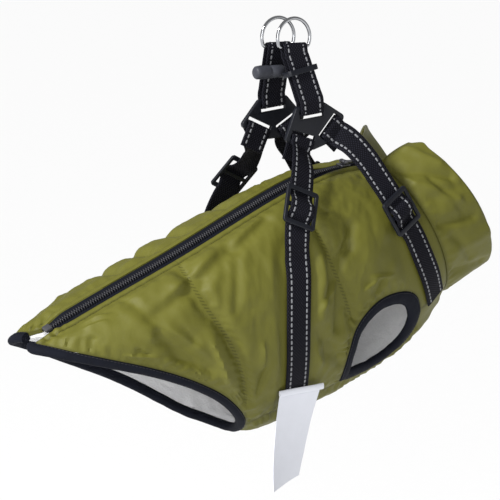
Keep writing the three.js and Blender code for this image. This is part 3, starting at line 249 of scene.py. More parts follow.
def unit(vectors):
    """Vectors of length one."""
    vectors = np.asarray(vectors, float)
    return vectors / np.linalg.norm(vectors, axis=-1, keepdims=True)


def smooth(x):
    """A soft step from 0 to 1."""
    t = np.clip(x, 0, 1)
    return t * t * (3 - 2 * t)


def mix(a, b, t):
    """A value between two."""
    return a + (b - a) * t


def spline(xs, ys):
    """Natural cubic curve through a table's rows, carried on past its ends."""
    xs = np.asarray(xs, float)
    ys = np.asarray(ys, float)
    gaps = np.diff(xs)
    system = np.eye(len(xs))
    slopes = np.zeros_like(ys)
    for i in range(1, len(xs) - 1):
        system[i, i - 1:i + 2] = gaps[i - 1], 2 * (gaps[i - 1] + gaps[i]), gaps[i]
        slopes[i] = 6 * ((ys[i + 1] - ys[i]) / gaps[i] - (ys[i] - ys[i - 1]) / gaps[i - 1])
    bend = np.linalg.solve(system, slopes.reshape(len(xs), -1)).reshape(ys.shape)

    def read(x):
        x = np.asarray(x, float)
        k = np.clip(np.searchsorted(xs, x, side="right") - 1, 0, len(xs) - 2)
        shape = x.shape + (1,) * (ys.ndim - 1)
        a = ((xs[k + 1] - x) / gaps[k]).reshape(shape)
        b = 1 - a
        reach = (gaps[k] ** 2).reshape(shape)
        return a * ys[k] + b * ys[k + 1] + ((a ** 3 - a) * bend[k] + (b ** 3 - b) * bend[k + 1]) * reach / 6

    return read


def table_splines(columns, rows):
    """One curve for each column of a table, read by its first."""
    rows = np.asarray(rows, float)
    return {name: spline(rows[:, 0], rows[:, i]) for i, name in enumerate(columns) if i}


def on_side(share, side):
    """The same place counted from the zip down one side."""
    return share if side == "right" else 2 - share


def sign(side):
    """-1 on the right side, 1 on the left."""
    return -1 if side == "right" else 1


class Body:
    """The filled-out coat's surface, read by distance along the zip and share of the way round."""

    FIRST, LAST = -30, 400
    ANGLES = 240
    SHARES = 240

    def __init__(self):
        self.along = np.arange(self.FIRST, self.LAST + 1, dtype=float)
        self.section = {name: read(self.along) for name, read in table_splines(SECTION_COLUMNS, SECTIONS).items()}
        self.points = {}
        self.girth = {}
        for side in SIDES:
            self.points[side], self.girth[side] = self.half(side)

    def half(self, side):
        """Points at equal steps round one side, and its girth, at each millimetre along the zip."""
        s = self.section
        zero = np.zeros_like(self.along)
        dorsal = np.stack([s["dorsal_x"], zero, s["dorsal_z"]], -1)
        ventral = np.stack([s["ventral_x"], zero, s["ventral_z"]], -1)
        height = np.linalg.norm(dorsal - ventral, axis=1)
        up = unit(dorsal - ventral)
        self.centre = dorsal - up * (height * s["widest"])[:, None]
        yaw = np.radians(s["yaw"])
        across = np.stack([-np.sin(yaw), np.cos(yaw), zero], -1)
        start = -sign(side) * np.radians(s["roll"])
        steps = np.linspace(0, 1, self.ANGLES + 1)
        angle = start[:, None] + (math.pi - start[:, None]) * steps
        above = np.abs(angle) < math.pi / 2
        power = np.where(above, s["square_above"][:, None], s["square_below"][:, None])
        reach = height[:, None] * np.where(above, s["widest"][:, None], 1 - s["widest"][:, None])
        half = np.where((angle < 0) | (side == "right"), s["right"][:, None], s["left"][:, None])
        radius = ((np.abs(np.sin(angle)) / half) ** power
                  + (np.abs(np.cos(angle)) / reach) ** power) ** (-1 / power)
        points = (self.centre[:, None] + up[:, None] * (radius * np.cos(angle))[..., None]
                  + across[:, None] * (sign(side) * radius * np.sin(angle))[..., None])
        lengths = np.zeros(points.shape[:2])
        lengths[:, 1:] = np.cumsum(np.linalg.norm(np.diff(points, axis=1), axis=2), axis=1)
        shares = np.linspace(0, 1, self.SHARES + 1)
        even = np.empty((len(self.along), self.SHARES + 1, 3))
        for i, length in enumerate(lengths):
            for k in range(3):
                even[i, :, k] = np.interp(shares * length[-1], length, points[i, :, k])
        return even, lengths[:, -1]

    def skin(self, places):
        """Points of the surface."""
        places = np.asarray(places, float)
        along, share = places[..., 0], places[..., 1]
        right = share <= 1
        row = np.clip(along - self.FIRST, 0, self.LAST - self.FIRST - 1e-6)
        column = np.clip(np.where(right, share, 2 - share), 0, 1 - 1e-9) * self.SHARES
        i, j = row.astype(int), column.astype(int)
        a, b = (row - i)[..., None], (column - j)[..., None]
        found = np.empty(along.shape + (3,))
        for side, mask in (("right", right), ("left", ~right)):
            grid = self.points[side]
            low = grid[i, j] * (1 - b) + grid[i, j + 1] * b
            high = grid[i + 1, j] * (1 - b) + grid[i + 1, j + 1] * b
            found[mask] = (low * (1 - a) + high * a)[mask]
        return found

    def slopes(self, places):
        """How the surface runs with distance along the zip, and with share."""
        places = np.asarray(places, float)
        step = np.array([3.0, 0.0])
        low, high = places.copy(), places.copy()
        low[..., 1] = np.maximum(0.001, places[..., 1] - 0.015)
        high[..., 1] = np.minimum(1.999, places[..., 1] + 0.015)
        span = (high - low)[..., 1:2]
        return ((self.skin(places + step) - self.skin(places - step)) / 6.0,
                (self.skin(high) - self.skin(low)) / span)

    def normal(self, places):
        """Directions out of the surface."""
        along, share = self.slopes(places)
        return -unit(np.cross(along, share))

    def out(self, places, height):
        """Points at a height out from the surface."""
        height = np.broadcast_to(height, np.asarray(places).shape[:-1])
        return self.skin(places) + self.normal(places) * height[..., None]

    def total(self, along, side):
        """Girth of one side."""
        return np.interp(along, self.along, self.girth[side])

    def zip_place(self, along, distance, side):
        """A place some millimetres to one side of the zip's middle."""
        along = np.asarray(along, float)
        return np.stack([along, on_side(distance / self.total(along, side), side)], -1)

    def move_aside(self, curve, distance):
        """A curve on the surface moved sideways over it."""
        points = self.skin(curve)
        before = np.concatenate([points[:1], points[:-1]])
        after = np.concatenate([points[1:], points[-1:]])
        aside = unit(np.cross(after - before, self.normal(curve))) * distance
        along, share = self.slopes(curve)
        aa, bb, ab = (along ** 2).sum(1), (share ** 2).sum(1), (along * share).sum(1)
        p, q = (along * aside).sum(1), (share * aside).sum(1)
        det = aa * bb - ab * ab
        return curve + np.stack([(p * bb - q * ab) / det, (q * aa - p * ab) / det], -1)


BODY = Body()


def row_curve(rows, first, last, steps):
    """Places on a smooth curve through rows of (along, share), between two row numbers."""
    read = spline(np.arange(len(rows)), np.asarray(rows, float))
    return read(np.linspace(first, last, steps + 1))


class Cuts:
    """The cut lines that neighbouring pieces share."""

    def __init__(self):
        parts = [row_curve(HEM, 0, HEM_RIGHT_SEAM, HEM_STEPS["right"]),
                 row_curve(HEM, HEM_RIGHT_SEAM, HEM_LEFT_SEAM, HEM_STEPS["belly"])[1:],
                 row_curve(HEM, HEM_LEFT_SEAM, len(HEM) - 1, HEM_STEPS["left"])[1:]]
        middle = np.concatenate(parts)
        self.hem_edge = BODY.move_aside(middle, BINDING_WIDTH / 2)
        self.hem_inside = BODY.move_aside(middle, -BINDING_WIDTH / 2)
        self.hem_cut = BODY.move_aside(middle, -BINDING_WIDTH / 2 - HEM_GAP)
        self.corner = {"right": HEM_STEPS["right"], "left": HEM_STEPS["right"] + HEM_STEPS["belly"]}
        self.over = row_curve(ARMHOLE_OVER, 0, len(ARMHOLE_OVER) - 1, OVER_STEPS)
        self.under = row_curve(ARMHOLE_UNDER, 0, len(ARMHOLE_UNDER) - 1, UNDER_STEPS)[::-1]
        steps = np.linspace(0, 1, FRONT_STEPS + 1)[:, None]
        self.front = mix(np.array(ARMHOLE_UNDER[0], float), np.array([NECK_SEAM, FRONT_SEAM_SHARE]), steps)
        self.seam = {side: self.belly_seam(side) for side in SIDES}

    def belly_seam(self, side):
        """From the hem's corner forwards to the armhole."""
        rows = np.asarray(BELLY_SEAM[side], float)
        line = spline(rows[:, 0], rows[:, 1])
        start, share = self.hem_cut[self.corner[side]]
        shift = on_side(share, side) - line(start)
        along = np.linspace(start, ARMHOLE_OVER[0][0], SEAM_STEPS + 1)
        return np.stack([along, line(along) + shift * (1 - smooth((along - start) / 40))], -1)

    def lowered(self, curve, side, gap):
        """A seam line moved down the side by part of the seam's gap."""
        return curve + np.stack([0 * curve[:, 0], gap / BODY.total(curve[:, 0], side)], -1)

    def side_places(self, side):
        """Grid of a side panel: columns run from the zip down to the hem, seams and armhole."""
        hem = self.hem_cut[:self.corner["right"] + 1]
        if side == "left":
            hem = self.hem_cut[self.corner["left"]:][::-1] * [1, -1] + [0, 2]
        foot = np.concatenate([hem, self.lowered(self.seam[side][1:], side, -HALF_GAP), self.over[1:],
                               self.lowered(self.front[1:], side, -HALF_GAP)])
        steps = np.abs(np.diff(foot, axis=0)) @ [1, SHARE_LENGTH] + COLUMN_LEAST
        run = np.concatenate([[0], np.cumsum(steps)]) / steps.sum()
        along = mix(PANEL_START, NECK_SEAM - HALF_GAP, run)
        top = np.stack([along, ZIP_HALF / BODY.total(along, side)], -1)
        foot[-1, 0] = NECK_SEAM - HALF_GAP
        t = np.linspace(0, 1, PANEL_ROWS + 1)
        t = 0.7 * t + 0.3 * smooth(t)
        places = mix(top[:, None], foot[:, None], t[None, :, None])
        if side == "left":
            places[..., 1] = 2 - places[..., 1]
        return places

    def belly_places(self):
        """Grid of the belly panel: columns run across from the right seam to the left one."""
        edges = {}
        for side in SIDES:
            curve = np.concatenate([self.lowered(self.seam[side], side, HALF_GAP), self.under[1:],
                                    self.lowered(self.front[1:], side, HALF_GAP)])
            curve[-1, 0] = NECK_SEAM - HALF_GAP
            edges[side] = curve if side == "right" else curve * [1, -1] + [0, 2]
        rear = self.hem_cut[self.corner["right"]:self.corner["left"] + 1]
        t = np.linspace(0, 1, len(rear))[:, None]
        bow = rear - mix(rear[0], rear[-1], t)
        bow[:, 1] = rear[:, 1] - mix(edges["right"][0], edges["left"][0], t)[:, 1]
        bow[[0, -1]] = 0
        places = mix(edges["right"][:, None], edges["left"][:, None], t[None])
        fade = (1 - np.clip(np.arange(len(places)) / (6 * REFINE), 0, 1)) ** 1.5
        return places + bow[None] * fade[:, None, None]


CUTS = Cuts()


def line_distance(places, rows, side):
    """Distance over the cloth from each place to short straight lines, one column for each."""
    scale = BODY.total(places[..., 0], side)
    x, y = places[..., 0], on_side(places[..., 1], side) * scale
    found = []
    for row in rows:
        ax, ay = row[0], row[1] * scale
        dx, dy = row[2] - ax, row[3] * scale - ay
        t = np.clip(((x - ax) * dx + (y - ay) * dy) / (dx * dx + dy * dy), 0, 1)
        found.append(np.hypot(x - ax - t * dx, y - ay - t * dy))
    return found


def side_by_side(places, value):
    """A value of (places, side) worked out for the places of each side."""
    found = np.zeros(places.shape[:-1])
    for side in SIDES:
        mask = places[..., 1] <= 1 if side == "right" else places[..., 1] > 1
        if mask.any():
            found[mask] = value(places[mask], side)
    return found


def zip_tilt(places):
    """Height by which the zip and the cloth beside it lean over to the right side."""
    along, share = places[..., 0], places[..., 1]
    away = side_by_side(places, lambda found, side: on_side(found[..., 1], side) * BODY.total(found[..., 0], side))
    way = np.where(share <= 1, -1.0, 1.0)
    near = ZIP_LIFT + ZIP_TILT * way * np.minimum(away, ZIP_HALF)
    ends = smooth((along - 8) / 22) * (1 - smooth((along - 285) / 32))
    return near * ends * (1 - smooth((away - ZIP_HALF) / 30))


def fold_relief(places, side):
    """Height of the broad folds."""
    rows = FOLDS[side]
    relief = sum(row[5] * np.exp(-(away / row[4]) ** 2)
                 for row, away in zip(rows, line_distance(places, rows, side)))
    return np.clip(relief, -4, 2.5)


def crease_relief(places, side):
    """Height of the fine creases, each steep on one flank, long on the other and lower at its ends."""
    scale = BODY.total(places[..., 0], side)
    x, y = places[..., 0], on_side(places[..., 1], side) * scale
    relief = np.zeros(places.shape[:-1])
    for x0, share0, x1, share1, width, height in CREASES[side]:
        dx, dy = x1 - x0, (share1 - share0) * scale
        length = np.hypot(dx, dy)
        t = ((x - x0) * dx + (y - share0 * scale) * dy) / length ** 2
        aside = ((x - x0) * dy - (y - share0 * scale) * dx) / length
        flank = width * np.where(aside > 0, 0.55, 1.7)
        ends = smooth(t / 0.3) * smooth((1 - t) / 0.3)
        relief += height * ends * np.exp(-(np.abs(aside) / flank) ** 1.4)
    return relief


def strap_press(places, side):
    """0 under a strap, 1 clear of it."""
    press = np.ones(places.shape[:-1])
    for route in (GIRTH_ON_COAT[side], CHEST_ON_COAT):
        rows = [(*a, *b) for a, b in zip(route, route[1:])]
        for away in line_distance(places, rows, side):
            press = np.minimum(press, smooth((away - WEBBING_WIDTH / 2 - 4) / 14))
    return press


def cloth_noise(points, scale, seed, octaves=3):
    """Smooth noise over points, from about -1 to 1."""
    shift = Vector((seed * 17.3, seed * 5.1, seed * 9.7))
    flat = points.reshape(-1, 3)
    found = [noise.fractal(Vector(p / scale) + shift, 0.6, 2.0, octaves) for p in flat]
    return np.array(found).reshape(points.shape[:-1])


class Line:
    """A sewn line over the cloth: its points, and the distance that they have run."""

    def __init__(self, points):
        self.points = np.asarray(points, float)
        steps = np.linalg.norm(np.diff(self.points, axis=0), axis=1)
        self.run = np.concatenate([[0], np.cumsum(steps)])
        self.tree = kdtree.KDTree(len(self.points))
        for i, point in enumerate(self.points):
            self.tree.insert(point, i)
        self.tree.balance()

    def near(self, points, normals):
        """Signed distance of points from the line, and the run of the place that is nearest."""
        flat = points.reshape(-1, 3)
        index = np.array([self.tree.find(p)[1] for p in flat])
        i = np.clip(index, 1, len(self.points) - 2)
        along = unit(self.points[i + 1] - self.points[i - 1])
        offset = flat - self.points[i]
        aside = np.cross(along, normals.reshape(-1, 3))
        run = self.run[i] + (offset * along).sum(1)
        away = np.linalg.norm(offset - (offset * along).sum(1)[:, None] * along, axis=1)
        beyond = np.maximum(0, np.maximum(-run, run - self.run[-1]))
        away = np.hypot(away, beyond) * np.sign((offset * aside).sum(1) + 1e-9)
        return away.reshape(points.shape[:-1]), run.reshape(points.shape[:-1])


class Relief:
    """Height of a padded panel's outer face over the body surface, read at any of its places."""

    WELT = 6.5
    PUFF = 2.6

    def __init__(self, name, places, settings):
        self.name = name
        self.settings = settings
        loop = [places[0], places[1:, -1], places[-1, -2::-1]]
        if name == "belly":
            loop.append(places[-2::-1, 0])
        self.edge = Line(BODY.skin(np.concatenate(loop)))
        self.quilting = [Line(BODY.skin(quilt_places(row, name))) for row in QUILTING.get(name, ())]

    def welt(self, places):
        """Distance past the zip's edge, and height of the folded welt beside it."""
        if self.name == "belly":
            far = np.full(places.shape[:-1], 99.0)
            return far, 0 * far
        away = on_side(places[..., 1], self.name) * BODY.total(places[..., 0], self.name) - ZIP_HALF
        half = self.WELT / 2
        bump = np.sqrt(np.clip(1 - ((away - half) / half) ** 2, 0, 1))
        groove = np.exp(-((away - self.WELT) / 1.1) ** 2)
        return away, 0.9 * bump - 0.7 * groove

    def wrinkles(self, points):
        """Small sharp wrinkles that gather in patches and run mostly up and down the side."""
        drawn = points * [1.0, 1.0, 0.42]
        ridges = 1 - 3.2 * np.abs(cloth_noise(drawn, 17, 7, 2))
        fine = 1 - 3.2 * np.abs(cloth_noise(drawn + [0, 0, 40], 9, 12, 2))
        patches = smooth(0.5 + 1.3 * cloth_noise(points, 55, 5, 2))
        return self.settings.crease_height * (0.11 * ridges + 0.04 * fine) * (0.35 + 0.65 * patches)

    def height(self, places):
        """Heights at places."""
        points, normals = BODY.skin(places), BODY.normal(places)
        edge, run = self.edge.near(points, normals)
        edge = np.abs(edge)
        away, welt = self.welt(places)
        press = side_by_side(places, strap_press)
        rise = smooth(edge / 13) * smooth((away - self.WELT) / 12) * press
        folds = side_by_side(places, fold_relief) * self.settings.fold_height
        creases = side_by_side(places, crease_relief) * self.settings.crease_height
        drift = cloth_noise(points, 42, 1)
        crumple = 1 - 2.6 * np.abs(cloth_noise(points * [1, 1, 0.6], 26, 2))
        wrinkle = self.wrinkles(points)
        height = self.PUFF + folds + creases + 1.3 * drift + 0.35 * crumple + wrinkle
        for line in self.quilting:
            aside, passed = line.near(points, normals)
            pucker = np.sin((passed + 0.9 * aside) * 2 * math.pi / 8.8 + 2 * drift) * np.exp(-(aside / 7) ** 2)
            height = height - 1.5 * np.exp(-(aside / 2.6) ** 2) + 0.6 * pucker
        gather = np.sin(run * 2 * math.pi / 9 + 6 * drift) * np.exp(-((edge - 6) / 8) ** 2)
        along_zip = np.sin(places[..., 0] * 2 * math.pi / 11 + 5 * drift)
        along_zip = along_zip * np.exp(-((away - self.WELT - 4) / 7) ** 2)
        ripples = 0.9 * gather * smooth(edge / 3) * press + 0.3 * along_zip * smooth(edge / 12) * press
        height = SHELL_TOP + rise * height + ripples + welt * smooth(edge / 2) + zip_tilt(places)
        return np.maximum(height, SHELL_BOTTOM + 0.8)


def quilt_places(rows, side):
    """Places along a quilted line."""
    places = row_curve(rows, 0, len(rows) - 1, 160)
    return places if side == "right" else places * [1, -1] + [0, 2]


def link(name, mesh, finish, body="garment"):
    """A new piece with its finish, riding on a body."""
    piece = bpy.data.objects.new(name, mesh)
    bpy.context.collection.objects.link(piece)
    if finish is not None:
        mesh.materials.clear()
        mesh.materials.append(finish)
    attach(piece, body)
    return piece


def only(piece):
    """Selects one piece alone."""
    bpy.ops.object.select_all(action="DESELECT")
    piece.select_set(True)
    bpy.context.view_layer.objects.active = piece


def shade(piece, angle=50):
    """Smooth faces with sharp edges kept past an angle."""
    only(piece)
    bpy.ops.object.shade_smooth_by_angle(angle=math.radians(angle))


def signed_volume(points, faces):
    """Volume of a closed mesh, below zero where it is inside out."""
    triangles = np.array([(face[0], face[i], face[i + 1]) for face in faces for i in range(1, len(face) - 1)])
    a, b, c = points[triangles].transpose(1, 0, 2)
    return (a * np.cross(b, c)).sum()


def solid(name, points, faces, finish, uv=None, fields=None, angle=50, body="garment"):
    """A closed piece from points in millimetres, turned so that its faces point outwards."""
    faces = [tuple(int(i) for i in face) for face in faces]
    sample = points - points.mean(0)
    if signed_volume(sample, faces) < 0:
        faces = [face[::-1] for face in faces]
    mesh = bpy.data.meshes.new(name)
    mesh.from_pydata((points * MM).tolist(), [], faces)
    corner = np.empty(len(mesh.loops), int)
    mesh.loops.foreach_get("vertex_index", corner)
    if uv is not None:
        layer = mesh.uv_layers.new(name="cloth")
        layer.data.foreach_set("uv", uv[corner].astype(np.float32).ravel())
    for title, values in (fields or {}).items():
        field = mesh.attributes.new(title, "FLOAT", "POINT")
        field.data.foreach_set("value", values.astype(np.float32).ravel())
    piece = link(name, mesh, finish, body)
    shade(piece, angle)
    return piece


def grid_faces(rows, columns, start=0):
    """Quads of a grid."""
    index = start + np.arange(rows * columns).reshape(rows, columns)
    return np.stack([index[:-1, :-1], index[1:, :-1], index[1:, 1:], index[:-1, 1:]], -1).reshape(-1, 4)


def wall(name, outer, inner, finish, uv, fields=None, angle=50):
    """A piece between two grids of points."""
    rows, columns = outer.shape[:2]
    count = rows * columns
    index = np.arange(count).reshape(rows, columns)
    edge = np.concatenate([index[0], index[1:, -1], index[-1, -2::-1], index[-2:0:-1, 0]])
    after = np.roll(edge, -1)
    rim = np.stack([edge, after, after + count, edge + count], -1)
    faces = np.concatenate([grid_faces(rows, columns), grid_faces(rows, columns, count)[:, ::-1], rim])
    points = np.concatenate([outer.reshape(-1, 3), inner.reshape(-1, 3)])
    uv = np.tile(uv.reshape(-1, 2), (2, 1))
    fields = {title: np.tile(values.reshape(-1), 2) for title, values in (fields or {}).items()}
    return solid(name, points, faces, finish, uv, fields, angle)


def ring_faces(rings, count, joined, start=0):
    """Quads through rings of the same count, and caps where they aren't joined."""
    index = start + np.arange(rings * count).reshape(rings, count)
    after = np.roll(index, -1, 1)
    low, high = (index, np.roll(index, -1, 0)) if joined else (index[:-1], index[1:])
    low_after, high_after = (after, np.roll(after, -1, 0)) if joined else (after[:-1], after[1:])
    faces = np.stack([low, low_after, high_after, high], -1).reshape(-1, 4).tolist()
    if not joined:
        faces += [index[0, ::-1].tolist(), index[-1].tolist()]
    return faces


def tube(name, rings, finish, uv, joined=False, angle=50, fields=None):
    """A piece through rings of points."""
    count = rings.shape[1]
    faces = ring_faces(len(rings), count, joined)
    return solid(name, rings.reshape(-1, 3), faces, finish, uv.reshape(-1, 2), fields, angle)


def closed_curve(points, steps):
    """Points on a smooth closed curve through corners, for each row of corners."""
    count = points.shape[1]
    around = np.concatenate([points[:, -3:], points, points[:, :3]], 1)
    read = spline(np.arange(-3, count + 3), around.transpose(1, 0, 2))
    return read(np.linspace(0, count, steps, endpoint=False)).transpose(1, 0, 2)


class Track:
    """A line with a width direction and a face, read by the distance that it has run."""

    def __init__(self, middle, wide, face):
        self.middle = np.asarray(middle, float)
        self.wide, self.face = unit(wide), unit(face)
        steps = np.linalg.norm(np.diff(self.middle, axis=0), axis=1)
        self.run = np.concatenate([[0], np.cumsum(steps)])
        self.read_middle = spline(self.run, self.middle)

    def __call__(self, run):
        run = np.asarray(run, float)
        middle = self.read_middle(run)
        ahead = unit(self.read_middle(run + 0.2) - self.read_middle(run - 0.2))
        flat = run.ravel()
        face = np.stack([np.interp(flat, self.run, self.face[:, k]) for k in range(3)], -1).reshape(middle.shape)
        face = unit(face - (face * ahead).sum(-1, keepdims=True) * ahead)
        wide = np.stack([np.interp(flat, self.run, self.wide[:, k]) for k in range(3)], -1).reshape(middle.shape)
        across = np.cross(ahead, face)
        across = across * np.sign((across * wide).sum(-1, keepdims=True))
        return middle, unit(across), face

    @property
    def length(self):
        return self.run[-1]


STITCH_ROWS = ((-0.5, 0.45), (-0.36, 1.0), (0.36, 1.0), (0.5, 0.45))
STITCH_SECTION = ((-0.5, -0.2), (-0.34, 0.8), (0.34, 0.8), (0.5, -0.2))


def stitch_mesh(tracks, pitch, length, width, thick):
    """Points, faces and UV of thread stitches: tracks are (track, offset, height, first, last, slant)."""
    points, faces, uv = [], [], []
    start = 0
    for track, offset, height, first, last, slant in tracks:
        count = max(1, int((last - first) / pitch))
        centres = np.linspace(first + pitch / 2, last - pitch / 2, count)
        rows = np.array([row for row, share in STITCH_ROWS])
        shares = np.array([share for row, share in STITCH_ROWS])
        middle, across, face = track(centres[:, None] + rows * length)
        section = np.array(STITCH_SECTION)
        sideways = offset + slant * rows[:, None] * length + section[:, 0] * width * shares[:, None]
        raised = height + section[:, 1] * thick * shares[:, None]
        rings = (middle[:, :, None] + across[:, :, None] * sideways[None, ..., None]
                 + face[:, :, None] * raised[None, ..., None])
        for ring in rings:
            points.append(ring.reshape(-1, 3))
            faces += ring_faces(len(STITCH_ROWS), len(STITCH_SECTION), False, start)
            start += len(STITCH_ROWS) * len(STITCH_SECTION)
            uv.append(np.stack(np.meshgrid(rows * length, section[:, 0] * width, indexing="ij"), -1).reshape(-1, 2))
    return np.concatenate(points), faces, np.concatenate(uv)


def stitches(name, tracks, finish, pitch, length, width, thick):
    """One piece that holds rows of thread stitches."""
    points, faces, uv = stitch_mesh(tracks, pitch, length, width, thick)
    return solid(name, points, faces, finish, uv, angle=60)


def arithmetic(operation):
    """A sum on a wire and its reflected form."""
    def forward(self, other):
        return self.finish.node("ShaderNodeMath", {"operation": operation}, (self, other))

    def reflected(self, other):
        return self.finish.node("ShaderNodeMath", {"operation": operation}, (other, self))

    return forward, reflected


class Wire:
    """A number that runs through a material's nodes and is used in ordinary sums."""

    def __init__(self, finish, socket):
        self.finish = finish
        self.socket = socket

    __add__, __radd__ = arithmetic("ADD")
    __sub__, __rsub__ = arithmetic("SUBTRACT")
    __mul__, __rmul__ = arithmetic("MULTIPLY")
    __truediv__, __rtruediv__ = arithmetic("DIVIDE")
    __pow__, __rpow__ = arithmetic("POWER")
    __lt__, __gt__ = arithmetic("LESS_THAN")

    def worked(self, operation, *others):
        """Any other Math operation on the wire."""
        return self.finish.node("ShaderNodeMath", {"operation": operation}, (self, *others))

    def sine(self):
        return self.worked("SINE")

    def size(self):
        return self.worked("ABSOLUTE")

    def fraction(self):
        return self.worked("FRACT")

    def clipped(self):
        return self.finish.node("ShaderNodeClamp", {}, (self, 0.0, 1.0))


class Finish:
    """A procedural material around one Principled shader."""

    def __init__(self, name, slot, constants):
        self.material = bpy.data.materials.new(name)
        self.material.use_nodes = True
        self.material["slot"] = slot
        self.tree = self.material.node_tree
        self.shader = self.tree.nodes["Principled BSDF"]
        for socket, value in constants.items():
            self.shader.inputs[socket].default_value = value

    def node(self, kind, settings=None, values=None, output=0):
        """Adds a node: its settings first, then the values or links of its sockets."""
        made = self.tree.nodes.new(kind)
        for name, value in (settings or {}).items():
            if name == "stops":
                ramp = made.color_ramp.elements
                ramp[0].position, ramp[0].color = value[0]
                ramp[-1].position, ramp[-1].color = value[-1]
                for position, colour in value[1:-1]:
                    ramp.new(position).color = colour
            else:
                setattr(made, name, value)
        pairs = values.items() if isinstance(values, dict) else enumerate(values or ())
        for key, value in pairs:
            self.put(made.inputs[key], value)
        return Wire(self, made.outputs[output])

    def put(self, socket, value):
        """Sets or links one socket."""
        if isinstance(value, Wire):
            self.tree.links.new(value.socket, socket)
        else:
            socket.default_value = value

    def set(self, **values):
        """Feeds the shader's own sockets."""
        for name, value in values.items():
            self.put(self.shader.inputs[name.replace("_", " ")], value)

    def place(self, stretch=(1, 1, 1)):
        """Object coordinates, stretched."""
        found = self.node("ShaderNodeTexCoord", output="Object")
        return self.node("ShaderNodeMapping", {}, {"Vector": found, "Scale": stretch})

    def cloth(self):
        """Millimetres along and across the cloth."""
        found = self.node("ShaderNodeUVMap", {"uv_map": "cloth"})
        split = self.node("ShaderNodeSeparateXYZ", {}, (found,))
        return split, Wire(self, split.socket.node.outputs[1])

    def field(self, name):
        """A value stored on the mesh."""
        return self.node("ShaderNodeAttribute", {"attribute_name": name}, output="Fac")

    def noise(self, vector, scale, detail=2.0, roughness=0.5):
        """Noise from 0 to 1."""
        values = {"Vector": vector, "Scale": scale, "Detail": detail, "Roughness": roughness}
        return self.node("ShaderNodeTexNoise", {}, values, output="Fac")

    def colours(self, factor, low, high):
        """A colour between two."""
        values = {0: factor, 6: (*low, 1) if isinstance(low, tuple) else low,
                  7: (*high, 1) if isinstance(high, tuple) else high}
        return self.node("ShaderNodeMix", {"data_type": "RGBA"}, values, output=2)

    def bump(self, height, distance, strength=1.0):
        """Relief that turns the surface's normal."""
        values = {"Height": height, "Distance": distance * MM, "Strength": strength}
        self.set(Normal=self.node("ShaderNodeBump", {}, values))
        return self.material


def shaded(colour, factor):
    """A colour made darker or lighter."""
    return tuple(min(1.0, channel * factor) for channel in colour)


TURN = 2 * math.pi


def shell_finish(settings):
    """Soft woven shell with pressed quilting, painted shade in its stitch dents, along its seams and in the welt's
    groove, and a slight sheen.
    """
    finish = Finish("olive_shell", "shell_nylon", {"Specular IOR Level": 0.22})
    colour = tuple(settings.shell_colour)
    along, across = finish.cloth()
    grain = (along * (TURN / 0.62)).sine() * (across * (TURN / 0.62)).sine()
    place = finish.place()
    cloudy = finish.noise(place, 14, 3)
    streak = finish.noise(finish.place((1, 1, 0.35)), 90, 3, 0.6)
    # Dashes along the quilted lines: their colour is darkened as painted shade in the pressed stitch dents, which the
    # bump also dents
    dash = ((finish.field("quilt_run") + finish.field("quilt_away") * 0.9) / 3.8).fraction()
    inside = (finish.field("quilt_away").size() < 1.7) * (dash < 0.36)
    # seam: painted shade along the panel edges, in the welt's groove and at the collar's foot
    seam = finish.field("seam")
    tone = (cloudy * 0.5 + streak * 0.5).clipped()
    base = finish.colours(tone, shaded(colour, 0.80), shaded(colour, 1.22))
    # Painted shade: darker in the stitch dents, along the seams and in the welt's groove
    painted_shade = (inside * 0.48 + seam * 0.5).clipped()
    base = finish.colours(painted_shade, base, shaded(colour, 0.30))
    finish.set(Base_Color=base, Roughness=0.42 + streak * 0.16)
    return finish.bump(grain * 0.05 + streak * 0.55 + cloudy * 0.4 - inside * 0.9, 0.7, 0.75)


def fleece_finish(settings):
    """Short brushed fleece."""
    finish = Finish("fleece", "fleece", {"Sheen Weight": 0.35, "Sheen Roughness": 0.6,
                                         "Specular IOR Level": 0.2})
    colour = tuple(settings.fleece_colour)
    place = finish.place()
    pile = finish.noise(place, 700, 3, 0.7)
    tuft = finish.noise(place, 180, 2)
    finish.set(Base_Color=finish.colours((pile * 0.6 + tuft * 0.4).clipped(), shaded(colour, 0.80),
                                         shaded(colour, 1.12)), Roughness=0.88 + tuft * 0.1)
    return finish.bump(pile * 0.7 + tuft * 0.8, 0.9, 0.9)


def tape_finish(name, colour, rib=0.95, slot="binding_tape"):
    """Ribbed woven tape."""
    finish = Finish(name, slot, {"Specular IOR Level": 0.1})
    along, across = finish.cloth()
    twill = ((along + across) * (TURN / rib)).sine() * 0.5 + 0.5
    wear = finish.noise(finish.place(), 120, 3)
    tone = (twill * 0.35 + wear * 0.65).clipped()
    finish.set(Base_Color=finish.colours(tone, shaded(colour, 0.55), shaded(colour, 1.7)),
               Roughness=0.62 + wear * 0.2)
    return finish.bump(twill + wear * 0.8, 0.16, 0.8)


def webbing_finish(settings):
    """Flat woven webbing: fine cross ribs, lighter specks where the ribs and cords cross, a firmer edge and a fine
    random fleck.
    """
    finish = Finish("webbing", "webbing", {"Specular IOR Level": 0.09})
    colour = tuple(settings.webbing_colour)
    along, across = finish.cloth()
    rib = (along * (TURN / 3.2)).sine()
    cord = (across * (TURN / 2.7)).sine()
    knots = (rib * cord).clipped()
    thread = finish.noise(finish.place(), 420, 2)
    edge = finish.node("ShaderNodeMapRange", {}, {0: across.size(), 1: 11.0, 2: 12.2})
    tone = (knots * 1.1 + thread * 0.25).clipped()
    finish.set(Base_Color=finish.colours(tone, shaded(colour, 0.5), shaded(colour, 3.2)),
               Roughness=0.6 + thread * 0.2)
    return finish.bump(knots * (1 - edge * 0.7) + thread * 0.3, 0.4, 0.9)


